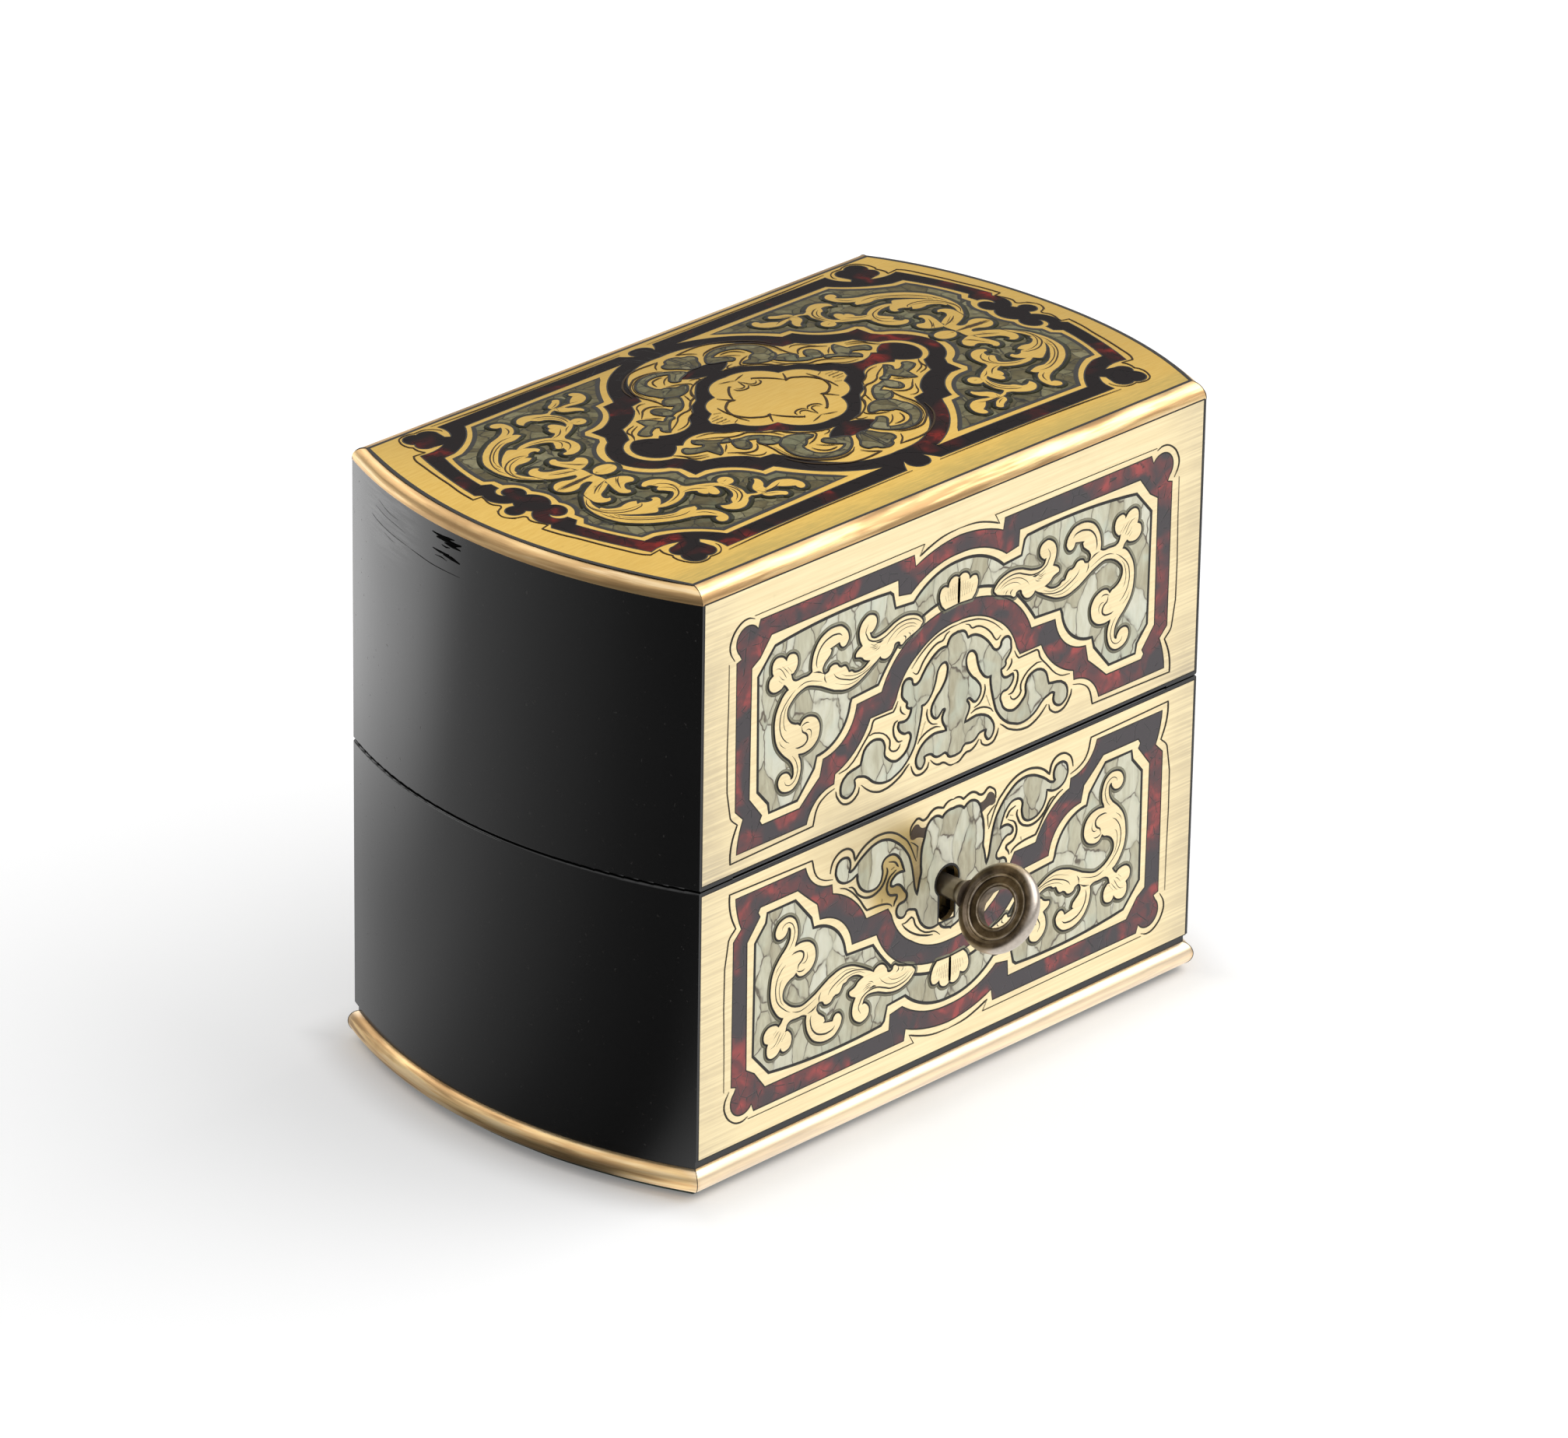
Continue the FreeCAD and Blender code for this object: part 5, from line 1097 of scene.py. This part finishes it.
def dressKey(look):
    beads = bmesh.new()
    for radius, height, thick in look["beads"]:
        data = curveOf([oval(0.0, 0.0, radius, radius, count=16)], True, 2 * thick)
        data.bevel_resolution = 3
        data.resolution_u = 6
        ring = meshOf(data)
        for side in (-1, 1):
            beads.from_mesh(ring)
            fresh = beads.verts[-len(ring.vertices):]
            bmesh.ops.translate(beads, verts=fresh, vec=(0.0, 0.0, side * height))
    turn = Matrix.Rotation(math.radians(90.0 + look["turn"]), 4, "Y")
    bmesh.ops.transform(beads, verts=beads.verts,
                        matrix=Matrix.Scale(mm, 4) @ Matrix.Translation(look["centre"]) @ turn)
    data = bpy.data.meshes.new("keyBeads")
    beads.to_mesh(data)
    beads.free()
    place("keyBeads", data, "wornBronze", "key_bronze", "key")


dressKey(keyBow)
print("mitres and key beads laid")

# Soft pieces. Cloth is worked at twenty times its size, where its forces are steady.

clothScale = 20.0
clothFrames = 20
tuftStep = 19.0
tuftFold = 0.6
sewnRim = 0.9
gluedDepth = 0.5
bottleAcross = 27.0
bottlePress = 20.7


def tufted(spot, half):
    # sewn at the rim, glued on top, drawn in along diamonds
    first = (spot.x + spot.y) / tuftStep
    second = (spot.x - spot.y) / tuftStep
    near = min(abs(first - round(first)), abs(second - round(second))) * tuftStep / math.sqrt(2)
    rim = abs(spot.x) > half.x - sewnRim or abs(spot.y) > half.y - sewnRim
    return rim or near < tuftFold or spot.z > half.z - gluedDepth


def pressed(spot, half):
    # flat under each bottle and on the board
    under = abs(abs(spot.x) - bottleAcross) < bottlePress and abs(spot.y) < bottlePress
    return under or spot.z < 0.3 - half.z


# A pad starts thinner than its node, from the low side (0) or the high side (1), and swells
# by the cap at most, in millimetres
cloths = {
    "ceilingPad": {"node": "lid_ceiling_pad", "body": "lid", "thin": 0.6, "anchor": 1,
                   "pressure": 130.0, "cap": 0.95, "held": tufted},
    "wellPads": {"node": "well_pads", "body": "base", "thin": 0.85, "anchor": 0,
                 "pressure": 60.0, "cap": 0.4, "held": pressed},
}


def evaluated(piece):
    return bpy.data.meshes.new_from_object(
        piece.evaluated_get(bpy.context.evaluated_depsgraph_get()))


def swell(pad, look, half):
    # cloth under pressure, held where it is sewn
    rest = [vertex.co.copy() for vertex in pad.data.vertices]
    held = pad.vertex_groups.new(name="held")
    sewn = [i for i, spot in enumerate(rest) if look["held"](spot / (clothScale * mm), half)]
    held.add(sewn, 1.0, "REPLACE")
    cloth = pad.modifiers.new("cloth", "CLOTH")
    settings = cloth.settings
    settings.use_pressure = True
    settings.uniform_pressure_force = look["pressure"]
    settings.effector_weights.gravity = 0.0
    settings.mass = 0.3
    settings.vertex_group_mass = "held"
    settings.tension_stiffness = settings.compression_stiffness = 15.0
    settings.quality = 5
    cloth.point_cache.frame_start, cloth.point_cache.frame_end = 1, clothFrames
    for number in range(1, clothFrames + 1):
        scene.frame_set(number)
    swollen = [vertex.co.copy() for vertex in evaluated(pad).vertices]
    pad.modifiers.clear()
    cap = look["cap"] * mm * clothScale
    for vertex, start, end in zip(pad.data.vertices, rest, swollen):
        move = end - start
        vertex.co = start + move * min(1.0, cap / max(move.length, 1e-9))
    scene.frame_set(1)


def clothOf(title, look):
    low, high = (Vector(corner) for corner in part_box(look["node"]))
    anchor = (low.z, high.z)[look["anchor"]]
    middle = (low + high) / 2
    middle.z = anchor + (middle.z - anchor) * look["thin"]
    half = (high - low) / 2 / mm
    half.z *= look["thin"]
    data = nodes[look["node"]].data.copy()
    for vertex in data.vertices:
        spot = vertex.co.copy()
        spot.z = anchor + (spot.z - anchor) * look["thin"]
        vertex.co = (spot - middle) * clothScale
    pad = bpy.data.objects.new("pad", data)
    scene.collection.objects.link(pad)
    remesh = pad.modifiers.new("remesh", "REMESH")
    remesh.mode = "VOXEL"
    remesh.voxel_size = mm * clothScale
    data = evaluated(pad)
    pad.modifiers.clear()
    pad.data = data
    swell(pad, look, half)
    pad.modifiers.new("finer", "SUBSURF").levels = 1
    data = evaluated(pad)
    bpy.data.objects.remove(pad)
    for vertex in data.vertices:
        spot = vertex.co / clothScale + middle
        vertex.co = [min(max(spot[k], low[k]), high[k]) for k in range(3)]
    data.polygons.foreach_set("use_smooth", [True] * len(data.polygons))
    pad = place(title, data, "velvet", "lining", look["body"])
    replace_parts(pad, look["node"])


for title, look in cloths.items():
    clothOf(title, look)
print("pads swollen")

# Glued cloth: its node, body, finish, slot and the radius of its folded edges in millimetres.
# The sway and the cuts are in metres.
softCopies = {
    "lidLining": ("lid_wall_lining", "lid", "velvet", "lining", 0.3),
    "baseFelt": ("base_felt", "base", "felt", "felt", 0.4),
    "trayVelvet": ("bottle_tray_board", "base", "velvet", "lining", 0.6),
    "wellVelvet": ("bottle_wells", "base", "velvet", "lining", 0.4),
}
swayWaves = 140.0
swayDepth = 0.00012
clothCut = 0.004


def softCopy(title, nodeName, body, finish, slot, fold):
    # the node's form with folded edges and an uneven, hand-laid face
    low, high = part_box(nodeName)
    soft = bmesh.new()
    soft.from_mesh(nodes[nodeName].data)
    bmesh.ops.remove_doubles(soft, verts=soft.verts, dist=weldDistance)
    bmesh.ops.dissolve_limit(soft, angle_limit=math.radians(1.0), verts=soft.verts,
                             edges=soft.edges)
    sharp = [edge for edge in soft.edges
             if len(edge.link_faces) == 2 and edge.calc_face_angle() > math.radians(35.0)]
    bmesh.ops.bevel(soft, geom=sharp, offset=fold * mm, segments=3, profile=0.5,
                    affect="EDGES", clamp_overlap=True)
    bmesh.ops.triangulate(soft, faces=soft.faces)
    for axis in range(3):
        cutPlanes(soft, axis, low[axis], high[axis], clothCut, 1e-7)
    bmesh.ops.triangulate(soft, faces=soft.faces)
    soft.normal_update()
    for vertex in soft.verts:
        sway = noise.noise(vertex.co * swayWaves) * swayDepth
        spot = vertex.co - vertex.normal * abs(sway)
        vertex.co = [min(max(spot[k], low[k]), high[k]) for k in range(3)]
    for face in soft.faces:
        face.smooth = True
    data = bpy.data.meshes.new(title)
    soft.to_mesh(data)
    soft.free()
    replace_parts(place(title, data, finish, slot, body), nodeName)


for title, look in softCopies.items():
    softCopy(title, *look)
print("linings laid")


# Covered buttons at the quilting's crossings, and braid round the pad and the wells

def gathered(title, parts, finish, slot, body):
    whole = bmesh.new()
    for part in parts:
        whole.from_mesh(part)
    for face in whole.faces:
        face.smooth = True
    data = bpy.data.meshes.new(title)
    whole.to_mesh(data)
    whole.free()
    place(title, data, finish, slot, body)


buttonRadius = 1.3
braidLook = {"corner": 2.5, "step": 0.7, "twist": 2.2, "strand": 0.62}


def button(x, y, z):
    # a low dome with a dimple, hanging from the pad
    mesh = bmesh.new()
    bmesh.ops.create_uvsphere(mesh, u_segments=20, v_segments=12, radius=buttonRadius * mm)
    for vertex in mesh.verts:
        ring = vertex.co.xy.length / (buttonRadius * mm)
        dimple = 0.25 * mm * max(0.0, 1.0 - 2.2 * ring)
        vertex.co.z = vertex.co.z * 0.5 + (dimple if vertex.co.z < 0 else 0.0)
    bmesh.ops.translate(mesh, verts=mesh.verts, vec=Vector((x, y, z)) * mm)
    data = bpy.data.meshes.new("button")
    mesh.to_mesh(data)
    mesh.free()
    return data


def braid(x, y, z, wide, deep, thick):
    # a two-strand twist round a rectangle with rounded corners
    corner = braidLook["corner"]
    spots = []
    for signX, signY, start in ((1, 1, 0), (-1, 1, 1), (-1, -1, 2), (1, -1, 3)):
        for k in range(3):
            turn = math.pi / 2 * (start + k / 2)
            spots.append((x + signX * (wide - corner) + corner * math.cos(turn),
                          y + signY * (deep - corner) + corner * math.sin(turn), z))
    strands = []
    for phase in (0.0, math.pi):
        path = []
        for k, spot in enumerate(spots):
            after = Vector(spots[(k + 1) % len(spots)])
            spot = Vector(spot)
            along = after - spot
            side = along.cross(upward).normalized()
            count = max(2, round(along.length / braidLook["step"]))
            for i in range(count):
                centre = spot + along * i / count
                twist = phase + (centre - Vector(spots[0])).length * braidLook["twist"]
                path.append(centre + side * math.cos(twist) * thick * 0.5
                            + upward * math.sin(twist) * thick * 0.5)
        data = bpy.data.curves.new("strand", "CURVE")
        data.dimensions = "3D"
        data.resolution_u = 1
        data.bevel_depth = thick * braidLook["strand"] * mm
        data.bevel_resolution = 1
        spline = data.splines.new("BEZIER")
        spline.bezier_points.add(len(path) - 1)
        spline.use_cyclic_u = True
        for point, spot in zip(spline.bezier_points, path):
            point.co = spot * mm
            point.handle_left_type = point.handle_right_type = "AUTO"
        strands.append(meshOf(data))
    return strands


padLow, padHigh = (Vector(corner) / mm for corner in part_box("lid_ceiling_pad"))
padMiddle = (padLow + padHigh) / 2
padHalf = (padHigh - padLow) / 2
padFace = padHigh.z - cloths["ceilingPad"]["thin"] * (padHigh.z - padLow.z)
crossings = [(i * tuftStep / 2, j * tuftStep / 2) for i in range(-5, 6) for j in range(-3, 4)
             if (i + j) % 2 == 0]
gathered("tuftButtons", [button(padMiddle.x + x, padMiddle.y + y, padFace - 0.1)
                         for x, y in crossings if abs(y) < padHalf.y - 2.0],
         "velvet", "lining", "lid")
gathered("padBraid", braid(padMiddle.x, padMiddle.y, padFace - 0.1, padHalf.x - 0.8,
                           padHalf.y - 0.8, 0.5), "gimp", "lining", "lid")
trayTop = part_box("bottle_tray_board")[1][2] / mm
for title, x in (("leftWellBraid", -bottleAcross), ("rightWellBraid", bottleAcross)):
    gathered(title, braid(x, 0.5, trayTop + 0.35, 22.9, 22.9, 0.45), "gimp", "lining", "base")
print("buttons and braid sewn")

# Stage, lights and camera

stageLook = {"size": 6.0, "albedo": 0.80, "glow": 0.36, "through": 0.5,
             "sky": 0.60, "skyLow": 0.50, "skyHigh": 1.40, "contact": 0.6,
             "mirror": [(0.24, 1.0), (0.32, 0.10), (0.36, 0.05), (0.42, 0.08), (0.50, 0.13),
                        (0.60, 0.27), (0.66, 0.34), (0.78, 0.55), (0.92, 0.64), (1.0, 0.72)],
             "mirrorScale": 1.25, "mirrorBack": 1.2}


def rays(tree):
    # camera, glossy and transmission rays
    outputs = addNode(tree, "LightPath", {}, {}).socket.node.outputs
    kinds = ("Is Camera Ray", "Is Glossy Ray", "Is Transmission Ray")
    return [Shade(tree, outputs[kind]) for kind in kinds]


def floorMirror(finish, look):
    # what shiny surfaces see of the floor: dim beside the box, bright far behind it
    where = finish.place()
    across, depth = finish.split(where, 0), finish.split(where, 1)
    away = finish.add("VectorMath", {"operation": "LENGTH"}, {0: where}, 1)
    along = depth / away
    stops = [(place, (value,) * 3) for place, value in look["mirror"]]
    dim = finish.ramp(along * 0.5 + 0.5, stops) * look["mirrorScale"]
    left = (-across / away).step(-0.25, 0.25, 0.45, 1.0)
    behind = along.step(0.62, 0.84) * away.step(115.0, 245.0) * look["mirrorBack"]
    return dim * left + (1.0 - left) * look["mirrorScale"] + behind * left


footHalf = (72.0, 42.0)
footBow = 0.0053


def nearBox(finish):
    # 1 beside the foot, 0 from 12 mm away; the ends are bowed
    where = finish.place()
    depth = finish.split(where, 1)
    bowed = abs(finish.split(where, 0)) + depth * depth * footBow - footHalf[0]
    away = bowed.math("MAXIMUM", bowed, abs(depth) - footHalf[1])
    return away.step(-1.0, 12.0, 1.0, 0.0)


def buildStage(look):
    mesh = bmesh.new()
    bmesh.ops.create_grid(mesh, x_segments=1, y_segments=1, size=look["size"] / 2)
    data = bpy.data.meshes.new("floor")
    mesh.to_mesh(data)
    mesh.free()
    floor = bpy.data.objects.new("floor", data)
    scene.collection.objects.link(floor)
    finish = Finish("whiteFloor")
    ray, shine, through = rays(finish.tree)
    lit = finish.add("BsdfDiffuse", {}, {"Color": (look["albedo"],) * 3 + (1.0,)})
    shaded = 1.0 - nearBox(finish) * look["contact"]
    strength = ray * shaded * look["glow"] + through * look["through"]
    glow = finish.add("Emission", {}, {"Strength": strength})
    seen = finish.add("AddShader", {}, {0: lit, 1: glow})
    mirror = finish.add("Emission", {}, {"Strength": floorMirror(finish, look)})
    both = finish.add("MixShader", {}, {0: shine, 1: seen, 2: mirror})
    finish.add("OutputMaterial", {}, {"Surface": both})
    data.materials.append(finish.material)


def buildWorld(look):
    world = bpy.data.worlds.new("studio")
    scene.world = world
    world.use_nodes = True
    tree = world.node_tree
    tree.nodes.clear()
    ray, shine, through = rays(tree)
    plain = look["sky"] * (1.0 - ray) * (1.0 - shine) * (1.0 - through)
    direction = addNode(tree, "TexCoord", {}, {})
    height = addNode(tree, "SeparateXYZ", {}, {0: direction}, 2)
    sheen = height.step(0.25, 0.55, look["skyLow"], look["skyHigh"])
    strength = plain + ray + through * 0.9 + shine * sheen
    glow = addNode(tree, "Background", {}, {"Strength": strength})
    addNode(tree, "OutputWorld", {}, {"Surface": glow})


lamps = {
    "keyLight": {"azimuth": 52.0, "elevation": 48.0, "away": 1.4, "size": 1.7,
                 "power": 13.5},
    "backLight": {"azimuth": 190.0, "elevation": 38.0, "away": 1.2, "size": 0.7,
                  "power": 2.0},
}


def around(azimuth, elevation, distance):
    # azimuth 0 is in front of the box, on the -Y side
    a, e = math.radians(azimuth), math.radians(elevation)
    return Vector((math.sin(a) * math.cos(e), -math.cos(a) * math.cos(e), math.sin(e))) * distance


def buildLamps():
    for title, look in lamps.items():
        data = bpy.data.lights.new(title, "AREA")
        data.shape = "DISK"
        data.size = look["size"]
        data.energy = look["power"]
        lamp = bpy.data.objects.new(title, data)
        scene.collection.objects.link(lamp)
        spot = around(look["azimuth"], look["elevation"], look["away"])
        lamp.matrix_world = Matrix.LocRotScale(
            spot, (-spot).to_track_quat("-Z", "Y"), None)


viewpoint = {"azimuth": -46.22, "elevation": 25.22, "roll": 0.915, "distance": 1.6756,
             "target": (0.0, 0.0, 0.0591), "lens": 219.8, "shift": (0.0034, -0.0103)}


def buildCamera(look):
    data = bpy.data.cameras.new("camera")
    data.lens = look["lens"]
    data.sensor_width = 36.0
    data.shift_x, data.shift_y = look["shift"]
    data.clip_start = 0.05
    data.clip_end = 20.0
    camera = bpy.data.objects.new("camera", data)
    scene.collection.objects.link(camera)
    back = around(look["azimuth"], look["elevation"], 1.0)
    right = Vector((0.0, 0.0, 1.0)).cross(back).normalized()
    up = back.cross(right)
    turn = Matrix((right, up, back)).transposed().to_4x4()
    turn = turn @ Matrix.Rotation(math.radians(look["roll"]), 4, "Z")
    stand = Vector(look["target"]) + back * look["distance"]
    camera.matrix_world = Matrix.Translation(stand) @ turn
    scene.camera = camera


buildStage(stageLook)
buildWorld(stageLook)
buildLamps()
buildCamera(viewpoint)
print("stage, lamps and camera set")
